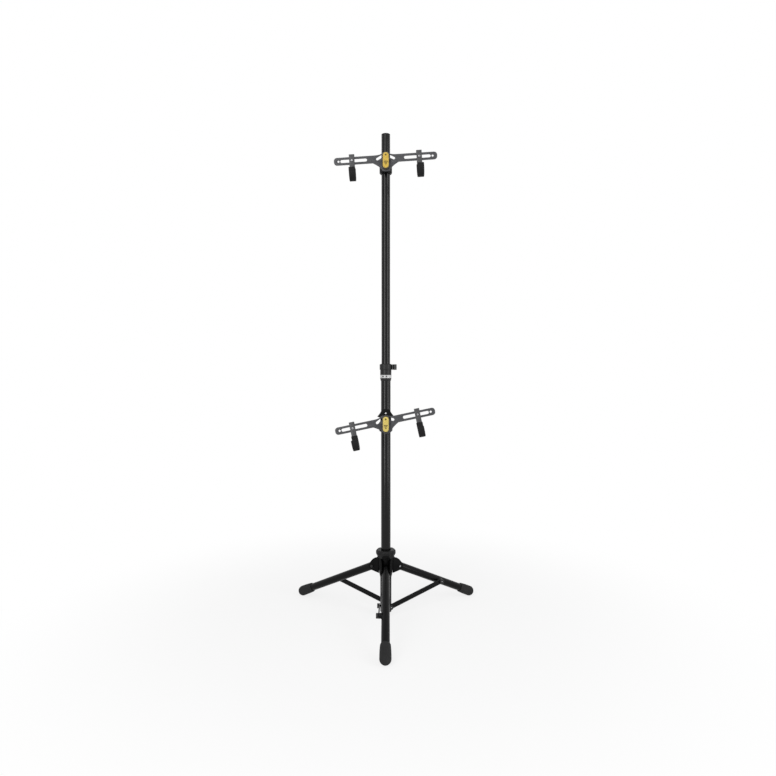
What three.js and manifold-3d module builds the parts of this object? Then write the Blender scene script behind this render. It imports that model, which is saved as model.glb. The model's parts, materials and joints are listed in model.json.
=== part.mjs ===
// A two-tier storage tower: a folding tripod, a telescoping pole and two tilting arms with
// adjustable hooks. Millimetres, +Z up, the column stands on the floor at z = 0.
import * as THREE from "three";
import { mergeVertices } from "three/addons/utils/BufferGeometryUtils.js";
import Module from "manifold-3d";

const wasm = await Module();
wasm.setup();

// Shared fits and cutting allowances
const clearance = 0.3; // gap between neighbouring pieces
const overrun = 4; // how far a cutting shape runs past the face it opens
const weldDistance = 0.001;

// Column: the lower tube stands in the base sleeve, the upper tube slides in it
const standHeight = 2058.5;
const lowerTubeRadius = 20.6;
const lowerTubeTop = 1050;
const upperTubeRadius = 18.4;
const upperTubeWall = 1.6;
const upperTubeInsertion = 224.8; // how far the upper tube reaches into the lower one
const capThickness = 3;
const capEdge = 1.2;
const capSpigotLength = 18;
const sleeveRadius = 24.3;
const sleeveTop = 164;
const sleeveEdge = 1.2;
const baseUnderside = 15;
const plugThickness = 3;
const plugSpigotLength = 16;

// Height collar on top of the lower tube, with a light band and a quick-release clamp
const collarSkirt = 34.5; // below the lower tube's top edge
const collarRise = 38; // above it
const collarRadius = 24;
const collarTaperHeight = 11.8;
const collarLip = 0.9;
const bandRadius = 24.2;
const bandHeight = 13;
const bandThickness = 1.5;
const neckRadius = 22;
const neckRise = 12; // from the lower tube's top edge up to the clamp's seat
const neckEdge = 0.8;
const clampRingRadius = 26.3;
const clampRingHeight = 24;
const clampSlit = 3;
const earThickness = 8;
const earHeight = 18;
const earReach = 39.5;
const clampBoltRadius = 3;
const clampBoltDistance = 31.5;
const clampHeadRadius = 7;
const clampHeadLength = 5.2;
const camSeatRadius = 8;
const leverPinDistance = 37.5;
const leverPinRadius = 2.5;
const leverEyeRadius = 5.5;
const leverEyeHeight = 7;
const leverBarrelRadius = 9;
const leverThickness = 14;
const leverHeight = 24;
const leverReach = 45;
const leverEdge = 1.2;

// Hub that slides on the lower tube and carries the legs, with its twist ring
const hubFootRadius = 24.1;
const hubSkirtHeight = 22;
const hubSkirtRadius = 29;
const hubRadius = 31.5;
const hubShoulderHeight = 50;
const hubBodyHeight = 86.5;
const hubNeckRadius = 26;
const hubNeckHeight = 18;
const yokeThickness = 5;
const yokeEndRadius = 18;
const yokeTopDrop = 0.5; // below the top of the hub's body
const yokeBottomHeight = 20;
const yokeShoulderRadius = 34;
const yokeShoulderHandle = 50;
const yokeCrestAngle = 45;
const lockRingHeight = 35;
const lockRingFootRadius = 33;
const lockRingRadius = 42.5;
const lockRingFlareHeight = 19;
const lockRingRimHeight = 10;
const lockRingCrownRadius = 38;
const gripNotchRadius = 5;
const gripNotchDistance = 45.5;
const gripNotchCount = 10;

// Legs, boots and struts. The pivots are given as radius and height of the unfolded tripod
const legCount = 3;
const legRadius = 16.5;
const legWall = 1.8;
const legPivotRadius = 57;
const legPivotHeight = 209.4;
const legHeadLength = 13;
const legHeadEdge = 3;
const yokeSideGap = 0.5;
const footRadius = 450; // from the column axis to the centre of the boot's round end
const footHeight = 22;
const bootRadius = 22.6;
const bootShoulderRadius = 22;
const bootShoulderLength = 34; // from the round end's centre
const bootEdgeRadius = 20.4;
const bootEdgeLength = 58;
const bootRimRadius = 17.6;
const bootRimLength = 63;
const bootFloor = 10; // rubber between the tube's end and the round end's centre
const legBoltRadius = 4;
const legBoltHeadRadius = 7;
const legBoltHeadHeight = 4;
const strutWidth = 22;
const strutThickness = 4;
const strutFootRadius = 6.5;
const strutFootHeight = 40.4;
const strutAlongLeg = 239; // from the leg's pivot to the strut's pivot on the leg
const strutOffset = 25.3; // from the leg's middle plane to the strut's inner face
const strutBossRadius = 11;
const strutBoltRadius = 4;
const strutBoltHeadRadius = 10.5;
const strutBoltHeadHeight = 8;
const strutBoltHeadEdge = 1.6;
const strutBoltDepth = 2.6; // how far the lower bolt reaches into the sleeve

// Arms: a liner and a carriage round the tube, a back plate, the slotted arm and its cover
const upperArmDrop = 131.7; // from the pole's top down to the tilt axis
const upperArmTilt = 3.73;
const lowerArmDrop = 182.4; // from the collar's lower edge down to the tilt axis
const lowerArmTilt = 11.9;
const linerThickness = 2.5;
const linerFlange = 3;
const linerFlangeHeight = 2.5;
const carriageHeight = 36;
const carriageDrop = 14; // from the tilt axis down to its middle
const carriageWall = 5;
const padFront = 30.7;
const padWidth = 34;
const spineWidth = 20;
const upperSpineTop = 38;
const lowerSpineTop = 54;
const knobBossRadius = 11;
const knobBossReach = 42;
const knobStudRadius = 4;
const knobRadius = 18;
const knobLobe = 2.2;
const knobLobeCount = 6;
const knobHeight = 20;
const knobEdge = 2.5;
const backplateThickness = 5;
const backplateTop = 62;
const backplateTopWidth = 38;
const backplateCorner = 7;
const backplateFlare = 9;
const backplateWingHeight = 31;
const backplateWingWidth = 73;
const backplateWaistHeight = 26;
const backplateWaistWidth = 46;
const backplateBottom = 30;
const plainPlateTop = 36; // the upper arm's plate is a plain strip
const standoffRadius = 18;
const standoffLength = 11.7;
const upperScrewHeight = 27;
const lowerScrewHeight = 45;
const backplateScrewRadius = 2.4;
const backplateScrewHeadRadius = 4.2;
const backplateScrewHeadHeight = 2.6;
const tiltBoltRadius = 6;
const tiltBoltHeadRadius = 9.2;
const tiltBoltHeadHeight = 7;
const armHalfLength = 215;
const armWidth = 31.5;
const armRise = 13; // from the tilt axis up to the arm's centre line
const armThickness = 4;
const armCorner = 13;
const slotInner = 77;
const slotEndInset = 27; // from the arm's end to the slot's end
const slotWidth = 13;
const endHoleInset = 19; // from the arm's end to the hole's centre
const endHoleRadius = 4.5;
const crownHeight = 38;
const crownHalfWidth = 14;
const crownFootDistance = 50;
const bossDepth = 39;
const bossHalfWidth = 17;
const bossShoulderDistance = 54;
const bossShoulderDepth = 33;
const bossFlareDistance = 24.5;
const bossFlareDepth = 18.6;
const windowDistance = 24.5;
const windowRise = 18.5;
const windowLength = 33;
const windowWidth = 11;
const windowAngle = 28;
const coverWidth = 30;
const coverHeight = 69.5;
const coverRise = 1.6; // its middle above the tilt axis
const coverDepth = 17.5;
const coverWall = 2.4;
const coverEdge = 4;

// Hooks on the arms
const hookInset = 75; // from the arm's end to the hook's middle
const hookWidth = 22.6;
const hookThickness = 4;
const hookTop = 39;
const hookTabBottom = 20;
const hookBendRadius = 29;
const hookBendHeight = 45; // from the tilt axis down to the bend's centre
const hookTipDrop = 37; // from the tilt axis down to the steel tip
const gripTop = 20; // from the tilt axis down to the rubber's upper edge
const gripWidth = 27;
const gripThickness = 12;
const gripTipCover = 5;
const gripEdge = 2.4;
const hookScrewRadius = 3;
const hookScrewHeadRadius = 4.6;
const hookScrewHeadHeight = 2.8;
const hookNutRadius = 6.2;
const hookNutHeight = 5;

// Facets round a circle
const tubeSides = 24;
const mediumSides = 16;
const smallSides = 12;
const bendSteps = 8;
const arcSteps = 6;
const roundSteps = 1;
const hexSides = 6;

// Finishes as they show on the object
const finish = (name, color, roughness, metalness) =>
  new THREE.MeshStandardMaterial({ name, color, roughness, metalness });
const blackPaint = finish("black_paint", 0x1c1c1d, 0.42, 0.3);
const blackPlastic = finish("black_plastic", 0x202021, 0.55, 0);
const greyPaint = finish("grey_paint", 0x55565a, 0.5, 0.5);
const rubber = finish("rubber", 0x2b2b2c, 0.85, 0);
const yellowPlastic = finish("yellow_plastic", 0xe8c648, 0.4, 0);
const lightBand = finish("light_band", 0xd2d2d2, 0.45, 0.1);
const steel = finish("steel", 0xb4b4b6, 0.3, 1);

// A closed geometry as a manifold solid, and back
function toSolid(geometry) {
  const bare = geometry.clone();
  bare.deleteAttribute("normal");
  bare.deleteAttribute("uv");
  const merged = mergeVertices(bare, weldDistance);
  const corners = merged.index.array;
  const triVerts = [];
  for (let i = 0; i < corners.length; i += 3) {
    const [a, b, c] = corners.slice(i, i + 3);
    if (a !== b && b !== c && c !== a) triVerts.push(a, b, c);
  }
  return new wasm.Manifold(
    new wasm.Mesh({
      numProp: 3,
      vertProperties: merged.attributes.position.array,
      triVerts: Uint32Array.from(triVerts),
    }),
  );
}

function toGeometry(solid) {
  const mesh = solid.getMesh();
  const geometry = new THREE.BufferGeometry();
  geometry.setAttribute("position", new THREE.BufferAttribute(mesh.vertProperties, 3));
  geometry.setIndex(new THREE.BufferAttribute(mesh.triVerts, 1));
  geometry.computeVertexNormals();
  return geometry;
}

function join(first, ...others) {
  return toGeometry(others.reduce((solid, other) => solid.add(toSolid(other)), toSolid(first)));
}

function cut(first, ...tools) {
  return toGeometry(tools.reduce((solid, tool) => solid.subtract(toSolid(tool)), toSolid(first)));
}

// A profile of [radius, height] corners turned round the Z axis
function turned(corners, sides) {
  let area = 0;
  corners.forEach(([r, z], i) => {
    const [nextR, nextZ] = corners[(i + 1) % corners.length];
    area += r * nextZ - nextR * z;
  });
  const outline = area > 0 ? [...corners] : [...corners].reverse();
  const onAxis = outline.findIndex(([r], i) => r === 0 && outline.at(i - 1)[0] === 0);
  const ordered = onAxis < 0 ? outline : [...outline.slice(onAxis), ...outline.slice(0, onAxis)];
  if (onAxis < 0) ordered.push(ordered[0]);
  const points = ordered.map(([r, z]) => new THREE.Vector2(r, z));
  return new THREE.LatheGeometry(points, sides).rotateX(Math.PI / 2);
}

function ring(outer, inner, bottom, top, sides = tubeSides) {
  return turned([[inner, bottom], [outer, bottom], [outer, top], [inner, top]], sides);
}

function rod(radius, bottom, top, sides = smallSides) {
  return turned([[0, bottom], [radius, bottom], [radius, top], [0, top]], sides);
}

// Turns something built along Z to lie along another axis
const alongX = (geometry) => geometry.rotateY(Math.PI / 2);
const alongY = (geometry) => geometry.rotateX(-Math.PI / 2);

function block(x0, x1, y0, y1, z0, z1) {
  return new THREE.BoxGeometry(x1 - x0, y1 - y0, z1 - z0).translate(
    (x0 + x1) / 2,
    (y0 + y1) / 2,
    (z0 + z1) / 2,
  );
}

// A shape extruded along Z from 0, its edges rounded inwards by edge
function slab(shape, depth, edge = 0, steps = arcSteps) {
  return new THREE.ExtrudeGeometry(shape, {
    depth: depth - 2 * edge,
    curveSegments: steps,
    bevelEnabled: edge > 0,
    bevelThickness: edge,
    bevelSize: edge,
    bevelOffset: -edge,
    bevelSegments: roundSteps,
  }).translate(0, 0, edge);
}

// A shape drawn in X and Z, extruded from y0 to y1
function upright(shape, y0, y1, edge = 0, steps = arcSteps) {
  return slab(shape, y1 - y0, edge, steps).rotateX(Math.PI / 2).translate(0, y1, 0);
}

// A shape drawn in forward distance and Z, extruded to both sides of x = 0
function sideways(shape, width, edge = 0) {
  const built = slab(shape, width, edge, bendSteps).rotateX(Math.PI / 2).rotateZ(-Math.PI / 2);
  return built.translate(width / 2, 0, 0);
}

function stadium(length, width) {
  const half = length / 2 - width / 2;
  const shape = new THREE.Shape();
  shape.absarc(half, 0, width / 2, -Math.PI / 2, Math.PI / 2, false);
  shape.absarc(-half, 0, width / 2, Math.PI / 2, (3 * Math.PI) / 2, false);
  return shape;
}

function piece(name, geometry, material) {
  const mesh = new THREE.Mesh(geometry, material);
  mesh.name = name;
  return mesh;
}

function groupOf(...children) {
  const group = new THREE.Group();
  group.add(...children);
  return group;
}

// Column
const lowerTubeBore = upperTubeRadius + clearance;
const sleeveBottom = baseUnderside + plugThickness + clearance;
const upperTubeTop = standHeight - capThickness - clearance;
const upperTubeBottom = lowerTubeTop - upperTubeInsertion;

function lowerTube() {
  return ring(lowerTubeRadius, lowerTubeBore, sleeveBottom, lowerTubeTop);
}

function upperTube() {
  const bore = upperTubeRadius - upperTubeWall;
  return ring(upperTubeRadius, bore, upperTubeBottom, upperTubeTop);
}

function poleCap() {
  const spigot = upperTubeRadius - upperTubeWall - clearance;
  const flangeBottom = upperTubeTop + clearance;
  return turned(
    [
      [0, upperTubeTop - capSpigotLength],
      [spigot, upperTubeTop - capSpigotLength],
      [spigot, flangeBottom],
      [upperTubeRadius, flangeBottom],
      [upperTubeRadius, standHeight - capEdge],
      [upperTubeRadius - capEdge, standHeight],
      [0, standHeight],
    ],
    tubeSides,
  );
}

const strutBoltEnd = sleeveRadius - strutBoltDepth;

function baseSleeve() {
  const bore = lowerTubeRadius + clearance;
  const body = turned(
    [
      [bore, sleeveBottom],
      [sleeveRadius - sleeveEdge, sleeveBottom],
      [sleeveRadius, sleeveBottom + sleeveEdge],
      [sleeveRadius, sleeveTop - sleeveEdge],
      [sleeveRadius - sleeveEdge, sleeveTop],
      [bore, sleeveTop],
    ],
    tubeSides,
  );
  const holes = legAzimuths.map((azimuth) =>
    alongY(rod(strutBoltRadius + clearance, -sleeveRadius - overrun, 0))
      .translate(strutFootRadius, 0, strutFootHeight)
      .rotateZ(azimuth),
  );
  return cut(body, ...holes);
}

function basePlug() {
  const spigot = lowerTubeBore - clearance;
  const flangeTop = baseUnderside + plugThickness;
  return turned(
    [
      [0, baseUnderside],
      [sleeveRadius - sleeveEdge, baseUnderside],
      [sleeveRadius, baseUnderside + sleeveEdge],
      [sleeveRadius, flangeTop],
      [spigot, flangeTop],
      [spigot, flangeTop + plugSpigotLength],
      [0, flangeTop + plugSpigotLength],
    ],
    tubeSides,
  );
}

// Height collar and clamp
const collarBottom = lowerTubeTop - collarSkirt;
const collarTop = lowerTubeTop + collarRise;
const neckBottom = lowerTubeTop + neckRise;
const bandBottom = collarBottom + collarTaperHeight + clearance;
const bandBore = bandRadius - bandThickness;
const clampMiddle = neckBottom + clearance + clampRingHeight / 2;
const clampBore = neckRadius + clearance;
const camSeat = leverPinDistance - leverBarrelRadius - clearance;

function heightCollar() {
  const slideBore = upperTubeRadius + clearance;
  const tubeBore = lowerTubeRadius + clearance;
  const shoulder = lowerTubeTop + clearance;
  const groove = bandBore - clearance;
  const grooveTop = bandBottom + bandHeight + clearance;
  const body = turned(
    [
      [tubeBore, collarBottom],
      [tubeBore + collarLip, collarBottom],
      [bandRadius, bandBottom - clearance],
      [groove, bandBottom - clearance],
      [groove, grooveTop],
      [collarRadius, grooveTop],
      [collarRadius, neckBottom],
      [neckRadius, neckBottom],
      [neckRadius, collarTop - neckEdge],
      [neckRadius - neckEdge, collarTop],
      [slideBore, collarTop],
      [slideBore, shoulder],
      [tubeBore, shoulder],
    ],
    tubeSides,
  );
  const half = clampSlit / 2;
  return cut(body, block(-half, half, 0, neckRadius + overrun, neckBottom, collarTop + overrun));
}

function collarBand() {
  return ring(bandRadius, bandBore, bandBottom, bandBottom + bandHeight);
}

function clampRing() {
  const bottom = clampMiddle - clampRingHeight / 2;
  const top = clampMiddle + clampRingHeight / 2;
  const half = clampSlit / 2;
  const earSide = half + earThickness;
  const earBottom = clampMiddle - earHeight / 2;
  const ears = block(-earSide, earSide, neckRadius, earReach, earBottom, earBottom + earHeight);
  const seat = alongX(rod(camSeatRadius, 0, camSeat, mediumSides)).translate(
    0,
    clampBoltDistance,
    clampMiddle,
  );
  const bolt = clampBoltRadius + clearance;
  const bore = alongX(rod(bolt, -earSide - overrun, camSeat + overrun)).translate(
    0,
    clampBoltDistance,
    clampMiddle,
  );
  return cut(
    join(rod(clampRingRadius, bottom, top, tubeSides), ears, seat),
    rod(clampBore, bottom - overrun, top + overrun, tubeSides),
    block(-half, half, 0, earReach + overrun, bottom - overrun, top + overrun),
    bore,
  );
}

function clampBolt() {
  const headStart = -clampSlit / 2 - earThickness - clearance;
  const shank = alongX(rod(clampBoltRadius, headStart - clampHeadLength, leverPinDistance));
  const head = alongX(rod(clampHeadRadius, headStart - clampHeadLength, headStart, hexSides));
  const half = leverEyeHeight / 2;
  const eye = rod(leverEyeRadius, -half, half, mediumSides).translate(leverPinDistance, 0, 0);
  const pinHole = rod(leverPinRadius + clearance, -half - overrun, half + overrun);
  return cut(join(shank, head, eye), pinHole.translate(leverPinDistance, 0, 0));
}

function clampLever() {
  const tip = leverThickness / 2;
  const inner = leverBarrelRadius - leverThickness;
  const shape = new THREE.Shape();
  shape.absarc(0, 0, leverBarrelRadius, 0, Math.PI, false);
  shape.quadraticCurveTo(-leverBarrelRadius, -leverBarrelRadius, inner, -2 * leverBarrelRadius);
  shape.lineTo(inner, tip - leverReach);
  shape.absarc(inner + tip, tip - leverReach, tip, Math.PI, 2 * Math.PI, false);
  const body = slab(shape, leverHeight, leverEdge).translate(0, 0, -leverHeight / 2);
  const side = leverBarrelRadius + overrun;
  const slot = leverEyeHeight / 2 + clearance;
  const reach = leverHeight / 2 + overrun;
  return cut(
    body,
    block(-side, side, -leverEyeRadius - clearance, side, -slot, slot),
    rod(leverPinRadius + clearance, -reach, reach),
  );
}

// Hub
const hubBottom = sleeveTop + clearance;
const hubBore = lowerTubeRadius + clearance;
const lockRingBottom = hubBottom + hubBodyHeight + clearance;
const yokeInner = legRadius + yokeSideGap;
const yokeOuter = yokeInner + yokeThickness;

// The angle, seen from a circle's centre, of the tangent point of a line from an outside point
function tangentAngle(dx, dy, radius, side) {
  return Math.atan2(dy, dx) + side * Math.acos(radius / Math.hypot(dx, dy));
}

function yokeShape() {
  const top = hubBottom + hubBodyHeight - yokeTopDrop;
  const bottom = hubBottom + yokeBottomHeight;
  const root = hubSkirtRadius - yokeThickness;
  const inward = root - legPivotRadius;
  const lower = tangentAngle(inward, bottom - legPivotHeight, yokeEndRadius, 1);
  const shape = new THREE.Shape();
  shape.moveTo(root, top);
  shape.lineTo(root, bottom);
  const crest = THREE.MathUtils.degToRad(yokeCrestAngle);
  shape.absarc(legPivotRadius, legPivotHeight, yokeEndRadius, lower, crest, false);
  shape.quadraticCurveTo(yokeShoulderHandle, top, yokeShoulderRadius, top);
  shape.closePath();
  return shape;
}

function hub() {
  const body = turned(
    [
      [hubBore, hubBottom],
      [hubFootRadius, hubBottom],
      [hubSkirtRadius, hubBottom + hubSkirtHeight],
      [hubRadius, hubBottom + hubShoulderHeight],
      [hubRadius, hubBottom + hubBodyHeight],
      [hubNeckRadius, hubBottom + hubBodyHeight],
      [hubNeckRadius, hubBottom + hubBodyHeight + hubNeckHeight],
      [hubBore, hubBottom + hubBodyHeight + hubNeckHeight],
    ],
    tubeSides,
  );
  const yokes = legAzimuths.flatMap((azimuth) => [
    upright(yokeShape(), yokeInner, yokeOuter).rotateZ(azimuth),
    upright(yokeShape(), -yokeOuter, -yokeInner).rotateZ(azimuth),
  ]);
  const bores = legAzimuths.map((azimuth) =>
    alongY(rod(legBoltRadius + clearance, -yokeOuter - overrun, yokeOuter + overrun))
      .translate(legPivotRadius, 0, legPivotHeight)
      .rotateZ(azimuth),
  );
  const tubeHole = rod(hubBore, hubBottom - overrun, hubBottom + hubBodyHeight, tubeSides);
  return cut(join(body, ...yokes), tubeHole, ...bores);
}

function lockRing() {
  const bore = hubNeckRadius + clearance;
  const neckTop = lockRingBottom + hubNeckHeight;
  const top = lockRingBottom + lockRingHeight;
  const rimBottom = lockRingBottom + lockRingFlareHeight;
  const body = turned(
    [
      [bore, lockRingBottom],
      [lockRingFootRadius, lockRingBottom],
      [lockRingRadius, rimBottom],
      [lockRingRadius, rimBottom + lockRingRimHeight],
      [lockRingCrownRadius, top],
      [hubBore, top],
      [hubBore, neckTop],
      [bore, neckTop],
    ],
    tubeSides,
  );
  const notches = Array.from({ length: gripNotchCount }, (_, i) =>
    rod(gripNotchRadius, lockRingBottom - overrun, top + overrun, smallSides)
      .translate(gripNotchDistance, 0, 0)
      .rotateZ(((i + 1 / 2) * 2 * Math.PI) / gripNotchCount),
  );
  return cut(body, ...notches);
}

// Legs. Each is built in a frame with +X outwards from the column and turned into place
const legNames = ["front", "right", "left"];
const frontAzimuth = -Math.PI / 2;
const legAzimuths = legNames.map((_, i) => frontAzimuth + (i * 2 * Math.PI) / legCount);
const legRun = footRadius - legPivotRadius;
const legDrop = legPivotHeight - footHeight;
const legSlope = Math.atan2(legDrop, legRun);
const legLength = Math.hypot(legRun, legDrop);
const legTubeEnd = legLength - bootFloor;
const strutHeadRadius = legPivotRadius + strutAlongLeg * Math.cos(legSlope);
const strutHeadHeight = legPivotHeight - strutAlongLeg * Math.sin(legSlope);
const strutRun = strutHeadRadius - strutFootRadius;
const strutRise = strutHeadHeight - strutFootHeight;
const strutLength = Math.hypot(strutRun, strutRise);
const strutSlope = Math.atan2(strutRise, strutRun);
const strutOuter = strutOffset + strutThickness;

function legTube() {
  const bore = legRadius - legWall;
  const tube = alongX(
    turned(
      [
        [0, -legHeadLength],
        [legRadius - legHeadEdge, -legHeadLength],
        [legRadius, legHeadEdge - legHeadLength],
        [legRadius, legTubeEnd],
        [bore, legTubeEnd],
        [bore, legHeadEdge - legHeadLength],
        [0, legHeadEdge - legHeadLength],
      ],
      tubeSides,
    ),
  );
  const bossFace = strutOffset - clearance;
  const boss = alongY(rod(strutBossRadius, -bossFace, 0, mediumSides)).translate(strutAlongLeg, 0, 0);
  const inside = alongX(rod(bore, legHeadEdge - legHeadLength, legTubeEnd + overrun, tubeSides));
  const pivot = alongY(rod(legBoltRadius + clearance, -legRadius - overrun, legRadius + overrun));
  return cut(join(tube, boss), inside, pivot);
}

function legBoot() {
  const bore = legRadius + clearance;
  const steps = arcSteps / 2;
  const roundEnd = Array.from({ length: steps + 1 }, (_, i) => {
    const turn = ((i / steps) * Math.PI) / 2;
    return [bootRadius * Math.cos(turn), legLength + bootRadius * Math.sin(turn)];
  });
  roundEnd.at(-1)[0] = 0;
  const body = alongX(
    turned(
      [
        [0, legTubeEnd + clearance],
        [bore, legTubeEnd + clearance],
        [bore, legLength - bootRimLength],
        [bootRimRadius, legLength - bootRimLength],
        [bootEdgeRadius, legLength - bootEdgeLength],
        [bootShoulderRadius, legLength - bootShoulderLength],
        ...roundEnd,
      ],
      tubeSides,
    ),
  );
  const reach = bootRadius + overrun;
  const floor = block(-reach, reach, -reach, reach, -footHeight - reach, -footHeight);
  return cut(body, floor.rotateY(-legSlope).translate(legLength, 0, 0));
}

// A bolt along Y with a domed head on the -Y side
function domedBolt(shank, tail, face, headRadius, headHeight, edge) {
  return alongY(
    turned(
      [
        [0, -face - headHeight],
        [headRadius - 2 * edge, -face - headHeight],
        [headRadius, edge - face - headHeight],
        [headRadius, -face],
        [shank, -face],
        [shank, -tail],
        [0, -tail],
      ],
      mediumSides,
    ),
  );
}

function legBolt() {
  const face = yokeOuter + clearance;
  const edge = legBoltHeadHeight / 3;
  const bolt = domedBolt(
    legBoltRadius,
    -face - legBoltHeadHeight,
    face,
    legBoltHeadRadius,
    legBoltHeadHeight,
    edge,
  );
  return join(bolt, alongY(rod(legBoltHeadRadius, face, face + legBoltHeadHeight, hexSides)));
}

function strut() {
  const bar = stadium(strutLength + strutWidth, strutWidth);
  const body = upright(bar, -strutOuter, -strutOffset).translate(strutLength / 2, 0, 0);
  const hole = () =>
    alongY(rod(strutBoltRadius + clearance, -strutOuter - overrun, overrun - strutOffset));
  return cut(body, hole(), hole().translate(strutLength, 0, 0));
}

function strutBolt(tail) {
  return domedBolt(
    strutBoltRadius,
    tail,
    strutOuter + clearance,
    strutBoltHeadRadius,
    strutBoltHeadHeight,
    strutBoltHeadEdge,
  );
}

function legAssembly(name, azimuth) {
  const leg = groupOf(
    piece(`${name}_leg`, legTube(), blackPaint),
    piece(`${name}_leg_boot`, legBoot(), rubber),
    piece(`${name}_leg_bolt`, legBolt(), steel),
  );
  leg.position.set(legPivotRadius, 0, legPivotHeight);
  leg.rotation.y = legSlope;
  const upperBolt = piece(`${name}_strut_upper_bolt`, strutBolt(strutOffset), blackPlastic);
  upperBolt.position.x = strutLength;
  const bar = groupOf(piece(`${name}_strut`, strut(), blackPaint), upperBolt);
  bar.position.set(strutFootRadius, 0, strutFootHeight);
  bar.rotation.y = -strutSlope;
  const lowerBolt = piece(`${name}_strut_lower_bolt`, strutBolt(strutBoltEnd), blackPlastic);
  lowerBolt.position.set(strutFootRadius, 0, strutFootHeight);
  const assembly = groupOf(leg, bar, lowerBolt);
  assembly.rotation.z = azimuth;
  return assembly;
}

// Arms. Each is built about its tilt axis, with the tube's axis at x = y = 0 and -Y to the front
const backplateBack = padFront + clearance;
const backplateFront = backplateBack + backplateThickness;
const armBack = backplateFront + standoffLength + clearance;
const armFront = armBack + armThickness;
const coverBack = armFront + clearance;
const carriageBottom = -carriageDrop - carriageHeight / 2;
const carriageTop = carriageBottom + carriageHeight;

function liner(tubeRadius) {
  const bore = tubeRadius + clearance;
  const body = bore + linerThickness;
  const flange = body + linerFlange;
  const lip = carriageHeight / 2 + clearance;
  const end = lip + linerFlangeHeight;
  return turned(
    [
      [bore, -end],
      [flange, -end],
      [flange, -lip],
      [body, -lip],
      [body, lip],
      [flange, lip],
      [flange, end],
      [bore, end],
    ],
    tubeSides,
  ).translate(0, 0, -carriageDrop);
}

function carriage(tubeRadius, spineTop, screwHeight) {
  const bore = tubeRadius + clearance + linerThickness + clearance;
  const spineBack = bore + linerFlange;
  const half = padWidth / 2;
  const studHole = knobStudRadius + clearance;
  return cut(
    join(
      rod(bore + carriageWall, carriageBottom, carriageTop, tubeSides),
      block(-half, half, -padFront, -bore / 2, carriageBottom, carriageTop),
      block(-spineWidth / 2, spineWidth / 2, -padFront, -spineBack, carriageBottom, spineTop),
      alongY(rod(knobBossRadius, bore, knobBossReach, mediumSides)).translate(0, 0, -carriageDrop),
    ),
    rod(bore, carriageBottom - overrun, carriageTop + overrun, tubeSides),
    alongY(rod(studHole, 0, knobBossReach + overrun)).translate(0, 0, -carriageDrop),
    screwHole(screwHeight, spineBack - overrun, padFront + overrun),
  );
}

function screwHole(height, from, to) {
  return alongY(rod(backplateScrewRadius + clearance, -to, -from)).translate(0, 0, height);
}

function clampKnob(tubeRadius) {
  const steps = 6 * knobLobeCount;
  const outline = Array.from({ length: steps }, (_, i) => {
    const turn = (i * 2 * Math.PI) / steps;
    const radius = knobRadius + knobLobe * Math.cos(knobLobeCount * turn);
    return new THREE.Vector2(radius * Math.cos(turn), radius * Math.sin(turn));
  });
  const start = knobBossReach + clearance;
  const head = upright(new THREE.Shape(outline), start, start + knobHeight, knobEdge);
  const studEnd = tubeRadius + clearance + linerThickness + clearance;
  return join(head, alongY(rod(knobStudRadius, studEnd, start + knobHeight / 2)));
}

function plainPlateShape() {
  const side = standoffRadius;
  const shape = new THREE.Shape();
  shape.moveTo(-side, -backplateBottom);
  shape.lineTo(side, -backplateBottom);
  shape.lineTo(side, plainPlateTop - backplateCorner);
  shape.quadraticCurveTo(side, plainPlateTop, side - backplateCorner, plainPlateTop);
  shape.lineTo(backplateCorner - side, plainPlateTop);
  shape.quadraticCurveTo(-side, plainPlateTop, -side, plainPlateTop - backplateCorner);
  shape.closePath();
  return shape;
}

function bellPlateShape() {
  const top = backplateTopWidth / 2;
  const wing = backplateWingWidth / 2;
  const waist = backplateWaistWidth / 2;
  const flareX = top + backplateFlare;
  const flareZ = backplateWingHeight + backplateFlare;
  const shape = new THREE.Shape();
  shape.moveTo(-waist, -backplateBottom);
  shape.lineTo(waist, -backplateBottom);
  shape.lineTo(waist, backplateWaistHeight);
  shape.lineTo(wing, backplateWingHeight);
  shape.quadraticCurveTo(flareX, flareZ, top, backplateTop - backplateCorner);
  shape.quadraticCurveTo(top, backplateTop, top - backplateCorner, backplateTop);
  shape.lineTo(backplateCorner - top, backplateTop);
  shape.quadraticCurveTo(-top, backplateTop, -top, backplateTop - backplateCorner);
  shape.quadraticCurveTo(-flareX, flareZ, -wing, backplateWingHeight);
  shape.lineTo(-waist, backplateWaistHeight);
  shape.closePath();
  return shape;
}

function backplate(shape, screwHeight) {
  const standoffEnd = backplateFront + standoffLength;
  return cut(
    join(
      upright(shape, -backplateFront, -backplateBack, 0, arcSteps / 2),
      alongY(rod(standoffRadius, -standoffEnd, -backplateBack, mediumSides)),
    ),
    alongY(rod(tiltBoltRadius + clearance, -standoffEnd - overrun, overrun - backplateBack)),
    screwHole(screwHeight, backplateBack - overrun, backplateFront + overrun),
  );
}

function backplateScrew(tubeRadius) {
  const spineBack = tubeRadius + 2 * clearance + linerThickness + linerFlange;
  const face = backplateFront + clearance;
  const edge = backplateScrewHeadHeight / 2;
  const radius = backplateScrewRadius;
  return domedBolt(radius, spineBack, face, backplateScrewHeadRadius, backplateScrewHeadHeight, edge);
}

function tiltBolt() {
  const face = coverBack;
  const head = rod(tiltBoltHeadRadius, -face - tiltBoltHeadHeight, -face, hexSides);
  return join(alongY(rod(tiltBoltRadius, -face, -backplateBack)), alongY(head));
}

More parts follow.
